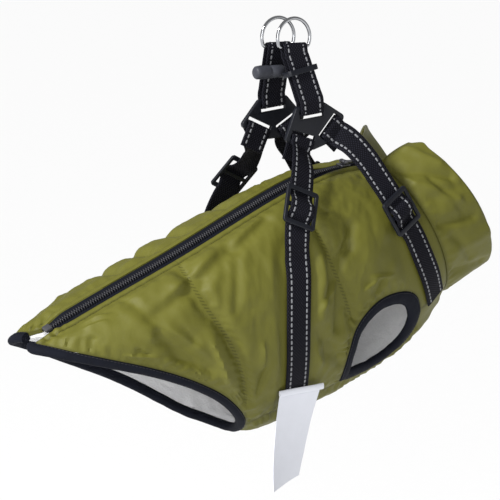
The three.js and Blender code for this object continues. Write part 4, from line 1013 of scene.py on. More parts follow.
def thread_finish(name, colour, slot, roughness=0.55):
    """Twisted sewing thread."""
    finish = Finish(name, slot, {"Specular IOR Level": 0.4})
    along, across = finish.cloth()
    twist = ((along * 1.6 + across) * (TURN / 0.8)).sine() * 0.5 + 0.5
    fleck = finish.noise(finish.place(), 600, 1)
    finish.set(Base_Color=finish.colours((twist * 0.5 + fleck * 0.5).clipped(), shaded(colour, 0.7),
                                         shaded(colour, 1.25)), Roughness=roughness + fleck * 0.15)
    return finish.bump(twist, 0.1, 0.6)


def plastic_finish(name, colour, slot, roughness=0.36):
    """Moulded plastic with a fine grain and slightly rubbed high spots."""
    finish = Finish(name, slot, {"Specular IOR Level": 0.3})
    place = finish.place()
    grain = finish.noise(place, 1500, 2)
    rub = finish.noise(place, 160, 4, 0.65)
    finish.set(Base_Color=finish.colours(rub, shaded(colour, 0.75), shaded(colour, 1.45)),
               Roughness=roughness + rub * 0.14)
    return finish.bump(grain + rub * 0.4, 0.05, 0.6)


def metal_finish(name, colour, slot, roughness):
    """Plated or polished metal with faint scuffs."""
    finish = Finish(name, slot, {"Metallic": 1.0})
    scuff = finish.noise(finish.place((1, 1, 4)), 260, 4, 0.7)
    finish.set(Base_Color=finish.colours(scuff, shaded(colour, 0.86), shaded(colour, 1.1)),
               Roughness=roughness + scuff * 0.10)
    return finish.bump(scuff, 0.02, 0.5)


def label_finish(settings):
    """White satin tape with a faint weave."""
    finish = Finish("satin_label", "satin_label", {"Sheen Weight": 0.2, "Specular IOR Level": 0.45})
    colour = tuple(settings.label_colour)
    along, across = finish.cloth()
    weave = (across * (TURN / 0.7)).sine() * 0.5 + 0.5
    soft = finish.noise(finish.place(), 90, 3)
    finish.set(Base_Color=finish.colours((weave * 0.3 + soft * 0.7).clipped(), shaded(colour, 0.92),
                                         shaded(colour, 1.04)), Roughness=0.38 + soft * 0.14)
    return finish.bump(weave * 0.3 + soft, 0.12, 0.6)


def floor_finish(colour):
    """Plain pale studio paper."""
    finish = Finish("studio_paper", "stage", {"Specular IOR Level": 0.1})
    fibre = finish.noise(finish.place(), 40, 3)
    finish.set(Base_Color=finish.colours(fibre, shaded(colour, 0.99), colour), Roughness=0.9)
    return finish.material


def cloth_uv(places):
    """Millimetres along and round the coat at places."""
    girth = side_by_side(places, lambda found, side: on_side(found[..., 1], side) * BODY.total(found[..., 0], side))
    return np.stack([places[..., 0], girth], -1)


def run_uv(rings):
    """Millimetres along rings and across them, by the first ring's points."""
    middle = rings.mean(1)
    along = np.concatenate([[0], np.cumsum(np.linalg.norm(np.diff(middle, axis=0), axis=1))])
    across = np.concatenate([[0], np.cumsum(np.linalg.norm(np.diff(rings[0], axis=0), axis=1))])
    return np.stack(np.meshgrid(along, across, indexing="ij"), -1)


def panel_places(name):
    """The grid of places of a panel."""
    return CUTS.belly_places() if name == "belly" else CUTS.side_places(name)


def quilt_fields(relief, points, normals):
    """Distance from the nearest quilted line, the run along it, and how near a seam is."""
    away = np.full(points.shape[:-1], 99.0)
    run = np.zeros(points.shape[:-1])
    for line in relief.quilting:
        aside, passed = line.near(points, normals)
        nearer = np.abs(aside) < np.abs(away)
        away, run = np.where(nearer, aside, away), np.where(nearer, passed, run)
    return away, run


def shell_panel(name, settings, finish):
    """A padded panel of the shell, with its folds, creases, welt and quilting."""
    places = panel_places(name)
    relief = Relief(name, places, settings)
    points, normals = BODY.skin(places), BODY.normal(places)
    edge = np.abs(relief.edge.near(points, normals)[0])
    away = relief.welt(places)[0]
    quilt_away, quilt_run = quilt_fields(relief, points, normals)
    # The seam field is painted shade: it darkens the shell where a panel dives into its seams and in the groove
    # beside the welt
    groove = np.exp(-((away - relief.WELT) / 0.9) ** 2)
    fields = {"seam": np.clip(np.exp(-(edge / 1.6) ** 2) + groove, 0, 1),
              "quilt_away": quilt_away, "quilt_run": quilt_run}
    outer = BODY.out(places, relief.height(places))
    inner = BODY.out(places, SHELL_BOTTOM)
    piece = wall(f"shell_{name}", outer, inner, finish, cloth_uv(places), fields)
    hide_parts(f"{name}_panel")
    return relief


def surface_track(places, heights):
    """A track that lies on the coat at heights over the body surface."""
    middle = BODY.out(places, heights)
    face = BODY.normal(places)
    run = np.gradient(middle, axis=0)
    return Track(middle, np.cross(run, face), face)


def zip_topstitch(reliefs, finish):
    """Thread along the welt on both sides of the zip."""
    tracks = []
    along = np.linspace(PANEL_START + 4, NECK_SEAM - 3, 300)
    for side in SIDES:
        relief = reliefs[side]
        places = BODY.zip_place(along, ZIP_HALF + relief.WELT, side)
        track = surface_track(places, relief.height(places))
        tracks.append((track, 0, 0.12, 0, track.length, 0))
    piece = stitches("zip_topstitch", tracks, finish, 3.0, 2.3, 0.7, 0.45)


def grid_area(points):
    """Area of a grid in square metres, and its longest column and row in metres."""
    a = np.cross(points[1:, 1:] - points[:-1, :-1], points[1:, :-1] - points[:-1, 1:])
    rows = np.linalg.norm(np.diff(points, axis=1), axis=2).sum(1).max()
    columns = np.linalg.norm(np.diff(points, axis=0), axis=2).sum(0).max()
    return np.linalg.norm(a, axis=2).sum() / 2 * MM * MM, rows * MM, columns * MM


def lining_panel(name, finish, with_pieces):
    """The fleece behind a panel of the shell."""
    places = panel_places(name)[::2, ::2]
    points = BODY.out(places, LINING_TOP)
    pile = 0.35 * cloth_noise(points, 5, 4, 2) + 0.25 * cloth_noise(points, 16, 6, 2)
    loose = 2.2 * np.maximum(0, 1 - 3.4 * np.abs(cloth_noise(points * [1, 1, 0.7], 30, 9, 2)))
    inner = BODY.out(places, LINING_BOTTOM + pile - loose)
    piece = wall(f"fleece_{name}", points, inner, finish, cloth_uv(places), angle=60)
    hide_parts(f"lining_{name}")
    area, width, length = grid_area(BODY.out(places, (LINING_TOP + LINING_BOTTOM) / 2))
    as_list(with_pieces)


def binding_rings(cut, edge, joined):
    """Rings of a folded tape round an open edge, a little uneven as sewn tape is."""
    middle = (cut + edge) / 2
    corners = np.stack([
        BODY.out(cut, SHELL_TOP + 0.3), BODY.out(middle, SHELL_TOP + 1.4), BODY.out(edge, SHELL_TOP - 0.8),
        BODY.out(edge, LINING_BOTTOM + 1.2), BODY.out(middle, LINING_BOTTOM - 0.6),
        BODY.out(cut, LINING_BOTTOM), BODY.out(cut, (SHELL_TOP + LINING_BOTTOM) / 2)], 1)
    rings = closed_curve(corners, 28)
    outward = BODY.normal(middle)[:, None]
    uneven = cloth_noise(rings, 11, 8, 2)[..., None] * 0.45
    if not joined:
        uneven[[0, -1]] = 0
    return rings + outward * uneven


def binding_piece(name, cut, edge, joined, finish, thread):
    """One bound edge and the row of stitches that holds it."""
    rings = binding_rings(cut, edge, joined)
    piece = tube(name, rings, finish, run_uv(rings), joined, angle=60)
    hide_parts(name.replace("tape", "binding"))
    row = rings[:, 1] if not joined else np.concatenate([rings[:, 1], rings[:2, 1]])
    face = BODY.normal(cut if not joined else np.concatenate([cut, cut[:2]]))
    track = Track(row, np.cross(np.gradient(row, axis=0), face), face)
    last = track.length - (0 if not joined else 3)
    sewn = stitches(f"{name}_stitches", [(track, 0, 0.12, 1, last, 0)], thread, 3.2, 2.4, 0.55, 0.35)
    return [piece, sewn]


def armhole_loop(side):
    """Cut and open edges of an armhole's binding."""
    loop = np.concatenate([CUTS.over, CUTS.under[1:-1][::-1]])
    middle = loop[::REFINE].mean(0)
    cut, edge = mix(middle, loop, ARMHOLE_CUT), mix(middle, loop, ARMHOLE_BINDING)
    if side == "left":
        cut, edge = cut * [1, -1] + [0, 2], edge * [1, -1] + [0, 2]
    return cut, edge


def zip_tape(side, finish):
    """Woven tape of the zip on one side."""
    along = np.linspace(7, 361, 240)
    near, far = BODY.zip_place(along, HALF_GAP, side), BODY.zip_place(along, ZIP_HALF - 0.3, side)
    low = TAPE_TOP - 0.9
    rings = []
    for t, height in ((0, TAPE_TOP), (0.33, TAPE_TOP), (0.66, TAPE_TOP), (1, TAPE_TOP), (1, low), (0, low)):
        places = mix(near, far, t)
        rings.append(BODY.out(places, height + zip_tilt(places)))
    rings = np.stack(rings, 1)
    name = f"zip_tape_woven_{side}"
    piece = tube(name, rings, finish, run_uv(rings), angle=40)
    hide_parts(f"zip_tape_{side}")
    return piece


# One zip tooth: sideways from the middle, height, and half-width and half-height of its wire
TOOTH = ((3.1, 0.15, 0.42, 0.30), (2.8, 1.0, 0.56, 0.45), (1.4, 1.5, 0.60, 0.45),
         (-0.3, 1.4, 0.64, 0.5), (-0.9, 0.7, 0.50, 0.40))
TOOTH_PITCH = 2.3


def zip_teeth(finish):
    """The coil: hooked teeth of both sides, which mesh in the middle."""
    turns = np.linspace(0, TURN, 6, endpoint=False)
    section = np.stack([np.cos(turns), np.sin(turns)], -1)
    points, faces = [], []
    for k, along in enumerate(np.arange(COIL[0], COIL[1], TOOTH_PITCH / 2)):
        side = -1 if k % 2 else 1
        place = np.array([along, 0.001])
        out = BODY.normal(place)
        forward = unit(BODY.skin([along + 2, 0.001]) - BODY.skin([along - 2, 0.001]))
        tilt = zip_tilt(place)
        lean = ZIP_TILT * tilt / ZIP_LIFT
        base = BODY.out(place, TAPE_TOP + 0.3 + tilt)
        level = unit(np.cross(out, forward))
        slope = unit(level + out * lean * np.sign(level[1]))
        out = unit(np.cross(forward, slope))
        across = slope * side
        rings = [base + across * aside + out * height
                 + section[:, :1] * forward * wide + section[:, 1:] * out * tall
                 for aside, height, wide, tall in TOOTH]
        faces += ring_faces(len(TOOTH), 6, False, sum(len(block) for block in points))
        points.append(np.concatenate(rings))
        if side < 0:
            faces[-(6 * (len(TOOTH) - 1) + 2):] = [face[::-1] for face in faces[-(6 * (len(TOOTH) - 1) + 2):]]
    points = np.concatenate(points)
    piece = solid("zip_teeth", points, faces, finish, points[:, :2], angle=60)
    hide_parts("zip_coil")


def collar_frame():
    """Middle of the neck, and the direction that the collar stands forwards in."""
    back, throat = BODY.skin([NECK_SEAM, 0.001]), BODY.skin([NECK_SEAM, 1.0])
    slope = unit(throat - back)
    centre = BODY.centre[int(NECK_SEAM) - BODY.FIRST]
    return centre, np.array([-slope[2], 0, slope[0]])


# Soft folds of the collar: start share and height, end share and height, width, depth
COLLAR_FOLDS = (
    (0.13, 0.10, 0.30, 0.80, 5.5, -2.4), (0.20, 0.04, 0.40, 0.62, 5.0, 1.9), (0.44, 0.12, 0.50, 0.72, 5.5, -2.2),
    (0.33, 0.30, 0.36, 0.95, 6.0, -1.3), (0.60, 0.20, 0.62, 0.85, 8.0, 1.5), (0.72, 0.10, 0.80, 0.70, 6.0, -1.9),
    (0.52, 0.25, 0.70, 0.45, 4.5, -1.2), (0.26, 0.45, 0.46, 0.62, 4.5, -1.3), (0.08, 0.55, 0.22, 0.80, 5, 1.2),
    (0.95, 0.20, 1.05, 0.85, 9, -2.0), (1.22, 0.15, 1.28, 0.75, 8, 1.8), (1.45, 0.10, 1.50, 0.80, 8, -2.0),
    (1.66, 0.10, 1.72, 0.80, 8, 1.8), (1.84, 0.20, 1.88, 0.90, 6, -1.2), (0.06, 0.15, 0.10, 0.90, 6, 1.4),
)


def bow(t, middle, rim):
    """Curve of the collar from its seam through its middle to its rim."""
    return 2 * (1 - t) * t * (2 * middle - rim / 2) + t * t * rim


def collar_grid(shares, heights, depth):
    """Points of one face of the collar."""
    centre, forward = collar_frame()
    places = np.stack([np.full_like(shares, NECK_SEAM + HALF_GAP), shares], -1)
    outward = BODY.out(places, 0.0) - centre
    outward = unit(outward - (outward @ forward)[:, None] * forward)
    row = {name: read(shares)[:, None] for name, read in table_splines(COLLAR_COLUMNS, COLLAR).items()}
    ends = np.minimum(shares - shares[0], shares[-1] - shares) * 200
    t = heights[None] * (1 - 0.16 * (1 - smooth(ends / 14)))[:, None]
    rim = np.maximum(0.14, np.sqrt(np.clip(1 - (np.clip(t - 0.9, 0, 1) / 0.1) ** 2, 0, 1)))
    middle = -3.0
    start = BODY.skin(places)[:, None] + BODY.normal(places)[:, None] * (middle + (depth - middle) * rim)[..., None]
    return (start + forward * bow(t, row["middle_forward"], row["rim_forward"])[..., None]
            + outward[:, None] * bow(t, row["middle_out"], row["rim_out"])[..., None])


def collar(settings, finish):
    """The padded stand collar, open over the back, with a soft rim and folds."""
    ends = [ZIP_HALF / BODY.total(NECK_SEAM, side) for side in SIDES]
    shares = np.linspace(ends[0], 2 - ends[1], 300)
    heights = 1 - (1 - np.linspace(0, 1, 60)) ** 1.5
    outer, inner = collar_grid(shares, heights, -0.5), collar_grid(shares, heights, -5.5)
    outward = unit(outer - inner + 1e-9)
    across, up = shares[:, None] * 200, heights[None] * 55
    relief = 0 * (across + up)
    for s0, t0, s1, t1, width, depth in COLLAR_FOLDS:
        dx, dy = (s1 - s0) * 200, (t1 - t0) * 55
        along = np.clip(((across - s0 * 200) * dx + (up - t0 * 55) * dy) / (dx * dx + dy * dy), 0, 1)
        away = np.hypot(across - s0 * 200 - along * dx, up - t0 * 55 - along * dy)
        relief = relief + depth * np.exp(-(away / width) ** 2)
    drift = cloth_noise(outer, 36, 11)
    gathers = np.sin(across * TURN / 9 + 5 * drift) * np.exp(-((up - 4) / 6) ** 2) * smooth(up / 3)
    edges = smooth(up / 7) * smooth((across - across[0]) / 6) * smooth((across[-1] - across) / 6)
    rim = smooth((1 - heights[None]) * 55 / 5)
    height = edges * rim * (1.3 + relief * settings.fold_height + 0.8 * drift) + 0.35 * gathers
    outer = outer + outward * height[..., None]
    uv = np.stack([across + 0 * up, up + 0 * across], -1)
    away = np.full(uv.shape[:-1], 99.0)
    # Painted shade at the collar's foot, where it meets the neck seam, through the seam field
    fields = {"seam": np.exp(-((up + 0 * across) / 1.6) ** 2), "quilt_away": away, "quilt_run": 0 * away}
    piece = wall("collar_padded", outer, inner, finish, uv, fields, angle=60)
    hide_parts("collar")


def centripetal(points, hints, per_span=24):
    """Points and hints on a centripetal curve through points."""
    padded = np.concatenate([[2 * points[0] - points[1]], points, [2 * points[-1] - points[-2]]])
    t = np.linspace(0, 1, per_span, endpoint=False)[:, None]
    found, turned = [], []
    for i in range(len(points) - 1):
        a, b, c, d = padded[i:i + 4]
        gaps = [max(1e-4, np.linalg.norm(q - p)) ** 0.5 for p, q in ((a, b), (b, c), (c, d))]
        start = ((b - a) / gaps[0] - (c - a) / (gaps[0] + gaps[1]) + (c - b) / gaps[1]) * gaps[1]
        end = ((c - b) / gaps[1] - (d - b) / (gaps[1] + gaps[2]) + (d - c) / gaps[2]) * gaps[1]
        found.append(b + start * t + (-3 * b + 3 * c - 2 * start - end) * t ** 2
                     + (2 * b - 2 * c + start + end) * t ** 3)
        turned.append(mix(hints[i], hints[i + 1], t))
    found.append(points[-1:])
    turned.append(hints[-1:])
    return np.concatenate(found), np.concatenate(turned)


def fold_stations(bar, wide, leave, radius, back, ahead):
    """Stations of webbing folded round a bar."""
    face = -unit(np.cross(wide, leave))
    stations = [(bar + leave * x - face * radius, wide, -face) for x in np.linspace(back, back / 4, 5)]
    for angle in np.linspace(0, math.pi, 11):
        direction = -face * math.cos(angle) - leave * math.sin(angle)
        stations.append((bar + direction * radius, wide, direction))
    stations += [(bar + leave * x + face * radius, wide, face) for x in np.linspace(ahead / 3, ahead, 3)]
    return stations


def plate_bar(side, name):
    """Middle of a plate's strap bar, the centre of the strap's turn round it and the way it leaves."""
    x, z, angle = PLATE[side][name]
    turn = math.radians(angle)
    leave = np.array([math.cos(turn), 0, math.sin(turn)])
    middle = np.array(PLATE[side]["centre"], float) + [x, 0, z]
    return middle, middle - leave * BAR_HALF, leave


def spread(stations, spacing=5.0):
    """Stations with the long straight gaps between them filled in."""
    filled = [stations[0]]
    for before, after in zip(stations, stations[1:]):
        count = max(1, int(np.linalg.norm(after[0] - before[0]) / spacing))
        for t in np.linspace(0, 1, count + 1)[1:]:
            filled.append(tuple(mix(a, b, t) for a, b in zip(before, after)))
    return filled


def lead_track(side):
    """Closed loop of a lead strap from its ring down to its plate, with its first and last run."""
    top = np.array(LEAD_TOP[side], float)
    middle, turn, leave = plate_bar(side, "lead")
    down = unit(middle - top)
    upper = fold_stations(top, np.array([1.0, 0, 0]), unit([0, down[1], down[2]]), RING_PLY, RING_LAP, RING_LAP)
    lower = fold_stations(turn, np.array([leave[2], 0, -leave[0]]), leave, PLATE_PLY, PLATE_LAP, PLATE_LAP)
    loop = spread(upper + lower + upper[:1])[:-1]
    lap = 6
    around = loop[-lap:] + loop + loop[:lap + 1]
    track = Track(*(np.array(part) for part in zip(*around)))
    return track, track.run[lap], track.run[lap + len(loop)]


def strap_track(side, name):
    """A girth or chest strap from the tail behind its plate to its end on the coat, and where its fold ends."""
    middle, turn, leave = plate_bar(side, name)
    outward = np.array([0.0, sign(side), 0.0])
    bar_way = unit(np.cross(outward, leave))
    folded = fold_stations(turn, bar_way, leave, PLATE_PLY, PLATE_TAIL, 2 * BAR_HALF)
    free = np.array(GIRTH_FREE[side] if name == "girth" else CHEST_FREE[side], float)
    places = np.array(GIRTH_ON_COAT[side] if name == "girth" else CHEST_ON_COAT, float)
    places[:, 1] = on_side(places[:, 1], side)
    leaving = folded[-1][0] + leave * 2
    points = np.concatenate([[leaving], free, BODY.out(places, ON_COAT)])
    normals = BODY.normal(places)
    count = len(free) + 1
    hints = [unit(mix(outward, normals[0], i / count)) for i in range(count)] + list(normals)
    line, hints = centripetal(points, np.array(hints))
    ahead = unit(np.gradient(line, axis=0))
    wide = unit(np.cross(hints, ahead))
    route = Track(line, wide, np.cross(ahead, wide))
    at = ADJUSTER_AT[name]
    raise_way = route(at)[2]
    runs = np.arange(0, route.length, 2.0)
    middle, wide, face = route(runs)
    away = [row[0] for row in ADJUSTER_ARCH]
    share = np.interp(runs - at, away, spline(away, [row[1] for row in ADJUSTER_ARCH])(away))
    arch = spline(away, [row[1] for row in ADJUSTER_ARCH])(np.clip(runs - at, away[0], away[-1]))
    arch = np.where(share > 0, np.clip(arch, 0, 1), 0)
    rise = ADJUSTER_THICK + WEBBING_THICK + ADJUSTER_LIFT + 0.6
    middle = middle + raise_way * rise * arch[:, None]
    stations = spread(folded + [(m, w, f) for m, w, f in zip(middle, wide, face)], 4.0)
    fold_end = len(spread(folded, 4.0))
    track = Track(*(np.array(part) for part in zip(*stations)))
    return track, track.run[fold_end - 1]


WEBBING_SECTION = ((-12.5, 0.0), (-12.35, 0.5), (-11.8, 0.82), (-9.5, 0.9), (-4.5, 0.9), (0.0, 0.9),
                   (4.5, 0.9), (9.5, 0.9), (11.8, 0.82), (12.35, 0.5), (12.5, 0.0), (12.35, -0.5),
                   (11.8, -0.82), (9.5, -0.9), (4.5, -0.9), (0.0, -0.9), (-4.5, -0.9), (-9.5, -0.9),
                   (-11.8, -0.82), (-12.35, -0.5))


def webbing(name, track, runs, joined, finish):
    """A flat woven strap along a track."""
    middle, wide, face = track(runs)
    section = np.array(WEBBING_SECTION)
    rings = (middle[:, None] + wide[:, None] * section[None, :, :1] + face[:, None] * section[None, :, 1:])
    uv = np.stack(np.meshgrid(runs, section[:, 0], indexing="ij"), -1)
    return tube(name, rings, finish, uv, joined, angle=70)


DASH = {"pitch": 5.2, "length": 3.7, "width": 1.9, "thick": 0.35}
DASH_OFFSET = 8.0


def reflective_rows(name, track, first, last, finish):
    """Two rows of bright dashes on the face of a strap."""
    tracks = [(track, offset, WEBBING_THICK / 2, first, last, 0) for offset in (-DASH_OFFSET, DASH_OFFSET)]
    piece = stitches(name, tracks, finish, **DASH)


def lead_strap(side, finish, thread):
    """The loop of webbing from a D-ring to its plate."""
    track, first, last = lead_track(side)
    runs = np.linspace(first, last, 220, endpoint=False)
    piece = webbing(f"lead_webbing_{side}", track, runs, True, finish)
    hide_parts(f"lead_strap_{side}")
    reflective_rows(f"lead_dashes_{side}", track, first, last, thread)


def body_strap(side, name, finish, thread):
    """A girth or chest strap."""
    track, fold_end = strap_track(side, name)
    runs = np.concatenate([np.linspace(0, fold_end, 60, endpoint=False),
                           np.linspace(fold_end, track.length, 170)])
    piece = webbing(f"{name}_webbing_{side}", track, runs, False, finish)
    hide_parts(f"{name}_strap_{side}")
    reflective_rows(f"{name}_dashes_{side}", track, 2, track.length - 1, thread)


def softened(node, name, finish, width, body="garment", angle=30):
    """A hard piece of the frame with rounded edges: its copy is merged, then bevelled."""
    piece = link(name, frame["nodes"][node].data.copy(), finish, body)
    only(piece)
    bpy.ops.object.mode_set(mode="EDIT")
    bpy.ops.mesh.select_all(action="SELECT")
    bpy.ops.mesh.remove_doubles(threshold=0.01 * MM)
    bpy.ops.mesh.dissolve_limited(angle_limit=math.radians(1))
    bpy.ops.object.mode_set(mode="OBJECT")
    bevel = piece.modifiers.new("edges", "BEVEL")
    bevel.width = width * MM
    bevel.segments = 3
    bevel.limit_method = "ANGLE"
    bevel.angle_limit = math.radians(angle)
    bpy.ops.object.modifier_apply(modifier=bevel.name)
    shade(piece, 40)
    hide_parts(node)
    return piece


def d_ring(side, finish):
    """A ring of round wire: half is spun and extruded from a circle, and mirrored."""
    x, y, z = LEAD_TOP[side]
    centre = Vector((x, y, z + RING_CHORD)) * MM
    corner = 3.0
    low = math.asin((RING_CHORD - corner) / (RING_RADIUS - corner))
    bpy.ops.object.select_all(action="DESELECT")
    start = centre + Vector((0, 0, RING_RADIUS * MM))
    bpy.ops.mesh.primitive_circle_add(vertices=16, radius=RING_WIRE * MM, location=start,
                                      rotation=(0, math.pi / 2, 0))
    piece = bpy.context.object
    piece.name = piece.data.name = f"d_ring_{side}"
    bpy.ops.object.transform_apply(location=True, rotation=True, scale=True)
    bpy.ops.object.mode_set(mode="EDIT")
    bpy.ops.mesh.select_all(action="SELECT")
    bpy.ops.mesh.spin(steps=30, angle=math.pi / 2 + low, center=centre, axis=(0, -1, 0))
    bend = centre + Vector((math.cos(low), 0, -math.sin(low))) * (RING_RADIUS - corner) * MM
    bpy.ops.mesh.spin(steps=8, angle=math.pi / 2 - low, center=bend, axis=(0, -1, 0))
    reach = (RING_RADIUS - corner) * math.cos(low) * MM
    bpy.ops.mesh.extrude_region_move(TRANSFORM_OT_translate={"value": (-reach, 0, 0)})
    bpy.ops.object.mode_set(mode="OBJECT")
    for vertex in piece.data.vertices:
        if abs(vertex.co.x - centre.x) < 0.05 * MM:
            vertex.co.x = centre.x
    cursor = bpy.data.objects.new("ring_mirror", None)
    bpy.context.collection.objects.link(cursor)
    cursor.location = centre
    bpy.context.view_layer.update()
    mirror = piece.modifiers.new("mirror", "MIRROR")
    mirror.mirror_object = cursor
    mirror.merge_threshold = 0.02 * MM
    only(piece)
    bpy.ops.object.modifier_apply(modifier=mirror.name)
    bpy.data.objects.remove(cursor)
    bpy.ops.object.mode_set(mode="EDIT")
    bpy.ops.mesh.select_all(action="SELECT")
    bpy.ops.mesh.remove_doubles(threshold=0.02 * MM)
    bpy.ops.mesh.normals_make_consistent(inside=False)
    bpy.ops.object.mode_set(mode="OBJECT")
    piece.data.materials.append(finish)
    shade(piece, 60)
    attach(piece, f"{side}_d_ring")
    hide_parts(f"ring_{side}")


# Care label: top middle, sway and belly of its fall, width, drop and turn
LABEL = {"top": (-20.2, -57.1, -325.8), "sway": -15, "belly": 3, "curl": 6, "width": 44, "drop": 86, "turn": 24}


def care_label(finish):
    """A bare satin label that hangs from the girth strap's end, folded over at its top."""
    t, u = np.linspace(0, 1, 60)[:, None], np.linspace(-0.5, 0.5, 32)[None]
    turn = math.radians(LABEL["turn"]) * t
    top = np.array(LABEL["top"], float)
    middle = [top[0] + LABEL["sway"] * t, top[1] + 1.6 * t + LABEL["belly"] * np.sin(math.pi * t), top[2] - LABEL["drop"] * t]
    curl = LABEL["curl"] * t * u * u + 0.5 * np.sin(9 * t + 4 * u) * t
    slant = 3 * u * t

    def face(depth):
        x = middle[0] + u * LABEL["width"] * np.cos(turn) + depth * np.sin(turn)
        y = middle[1] + u * LABEL["width"] * np.sin(turn) - depth * np.cos(turn) - curl
        return np.stack([x, y, middle[2] + slant + 0 * u], -1)

    uv = np.stack([LABEL["drop"] * t + 0 * u, LABEL["width"] * u + 0 * t], -1)
    piece = wall("satin_label", face(0.3), face(-0.3), finish, uv, angle=60)
    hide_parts("care_label")
    hem = label_hem(finish)


def label_hem(finish):
    """The folded and stitched top edge of the label."""
    top = np.array(LABEL["top"], float)
    across = np.linspace(-0.54, 0.54, 28)
    turns = np.linspace(0, TURN, 14, endpoint=False)
    section = np.stack([1.1 * np.cos(turns), 2.9 * np.sin(turns)], -1)
    middle = top + np.stack([across * LABEL["width"], 0 * across - 1.6 - 0.3 * np.sin(7 * across), 0 * across - 0.5], -1)
    rings = middle[:, None] + section[None, :, :1] * [0, 1, 0] + section[None, :, 1:] * [0, 0, 1]
    piece = tube("satin_label_hem", rings, finish, run_uv(rings), angle=60)
    return piece


def camera(settings):
    """The camera at the photograph's viewing angle."""
    azimuth, rise = math.radians(settings.azimuth), math.radians(settings.elevation)
    right = Vector((math.cos(azimuth), math.sin(azimuth), 0))
    back = Vector((math.sin(azimuth) * math.cos(rise), -math.cos(azimuth) * math.cos(rise), math.sin(rise)))
    up = back.cross(right)
    pixels = settings.pixels_per_mm
    across, down = settings.origin_pixel[0] - 250, settings.origin_pixel[1] - 250
    target = (right * -across + up * down) * (MM / pixels)
    data = bpy.data.cameras.new("studio_camera")
    data.sensor_width = 36
    data.lens = settings.distance / MM * pixels * 36 / 500
    data.clip_end = 30
    camera_object = bpy.data.objects.new("studio_camera", data)
    bpy.context.collection.objects.link(camera_object)
    place = Matrix((right, up, back)).transposed().to_4x4()
    place.translation = target + back * settings.distance
    camera_object.matrix_world = place
    bpy.context.scene.camera = camera_object
    return back


def backdrop(settings):
    """A wide paper floor below the hanging coat."""
    bpy.ops.object.select_all(action="DESELECT")
    bpy.ops.mesh.primitive_circle_add(vertices=96, radius=30, fill_type="NGON",
                                      location=(0, 0, settings.floor_height))
    floor = bpy.context.object
    floor.name = floor.data.name = "studio_floor"
    bpy.ops.object.transform_apply(location=True, rotation=True, scale=True)
    floor.data.materials.append(floor_finish(tuple(settings.paper_colour)))


def area_light(name, power, size, place, target):
    """A soft square light that faces the coat."""
    data = bpy.data.lights.new(name, "AREA")
    data.energy = power
    data.size = size
    lamp = bpy.data.objects.new(name, data)
    bpy.context.collection.objects.link(lamp)
    lamp.location = place
    lamp.rotation_euler = (Vector(target) - Vector(place)).to_track_quat("-Z", "Y").to_euler()


def studio_light(settings):
    """White surroundings with a large key light and a weaker fill."""
    world = bpy.data.worlds.new("studio_surroundings")
    world.use_nodes = True
    back = world.node_tree.nodes["Background"]
    back.inputs["Color"].default_value = (1, 1, 1, 1)
    back.inputs["Strength"].default_value = settings.surround
    bpy.context.scene.world = world
    bpy.context.scene.view_settings.view_transform = "Standard"
    middle = (-0.02, 0, -0.25)
    key = bpy.data.lights.new("key_light", "SUN")
    key.energy = settings.key_strength
    key.angle = math.radians(9)
    lamp = bpy.data.objects.new("key_light", key)
    bpy.context.collection.objects.link(lamp)
    lamp.rotation_euler = Vector((-0.80, -0.05, 0.60)).to_track_quat("Z", "Y").to_euler()
    area_light("fill_light", settings.fill_power, 0.6, (-0.8, -0.75, 0.1), middle)


def colour_property(name, description, default):
    """A linear colour with its default."""
    return bpy.props.FloatVectorProperty(name=name, description=description, default=default, size=3,
                                         min=0, max=1, subtype="COLOR")


class DogCoatSettings(bpy.types.PropertyGroup):
    """Colours and relief of the coat."""

    shell_colour: colour_property("Shell", "Colour of the padded shell", (0.121, 0.118, 0.018))
    fleece_colour: colour_property("Fleece", "Colour of the lining", (0.93, 0.93, 0.95))
    binding_colour: colour_property("Binding", "Colour of the bound edges and zip tape", (0.006, 0.007, 0.012))
    webbing_colour: colour_property("Webbing", "Colour of the harness straps", (0.006, 0.006, 0.009))
    dash_colour: colour_property("Reflective thread", "Colour of the bright dashes", (0.22, 0.225, 0.24))
    plastic_colour: colour_property("Plastic", "Colour of plates, adjusters and keepers", (0.006, 0.007, 0.011))
    clasp_colour: colour_property("Clasp", "Colour of the round clasp", (0.036, 0.038, 0.048))
    metal_colour: colour_property("Zip metal", "Colour of the slider and its tab", (0.20, 0.20, 0.22))
    chrome_colour: colour_property("Chrome", "Colour of the D-rings", (0.46, 0.47, 0.49))
    label_colour: colour_property("Label", "Colour of the satin label", (0.78, 0.80, 0.87))
    fold_height: bpy.props.FloatProperty(name="Folds", description="Height of the broad folds against their table",
                                         default=1.75, min=0, max=3, subtype="FACTOR")
    crease_height: bpy.props.FloatProperty(name="Creases", description="Height of the fine creases",
                                           default=2.5, min=0, max=4, subtype="FACTOR")


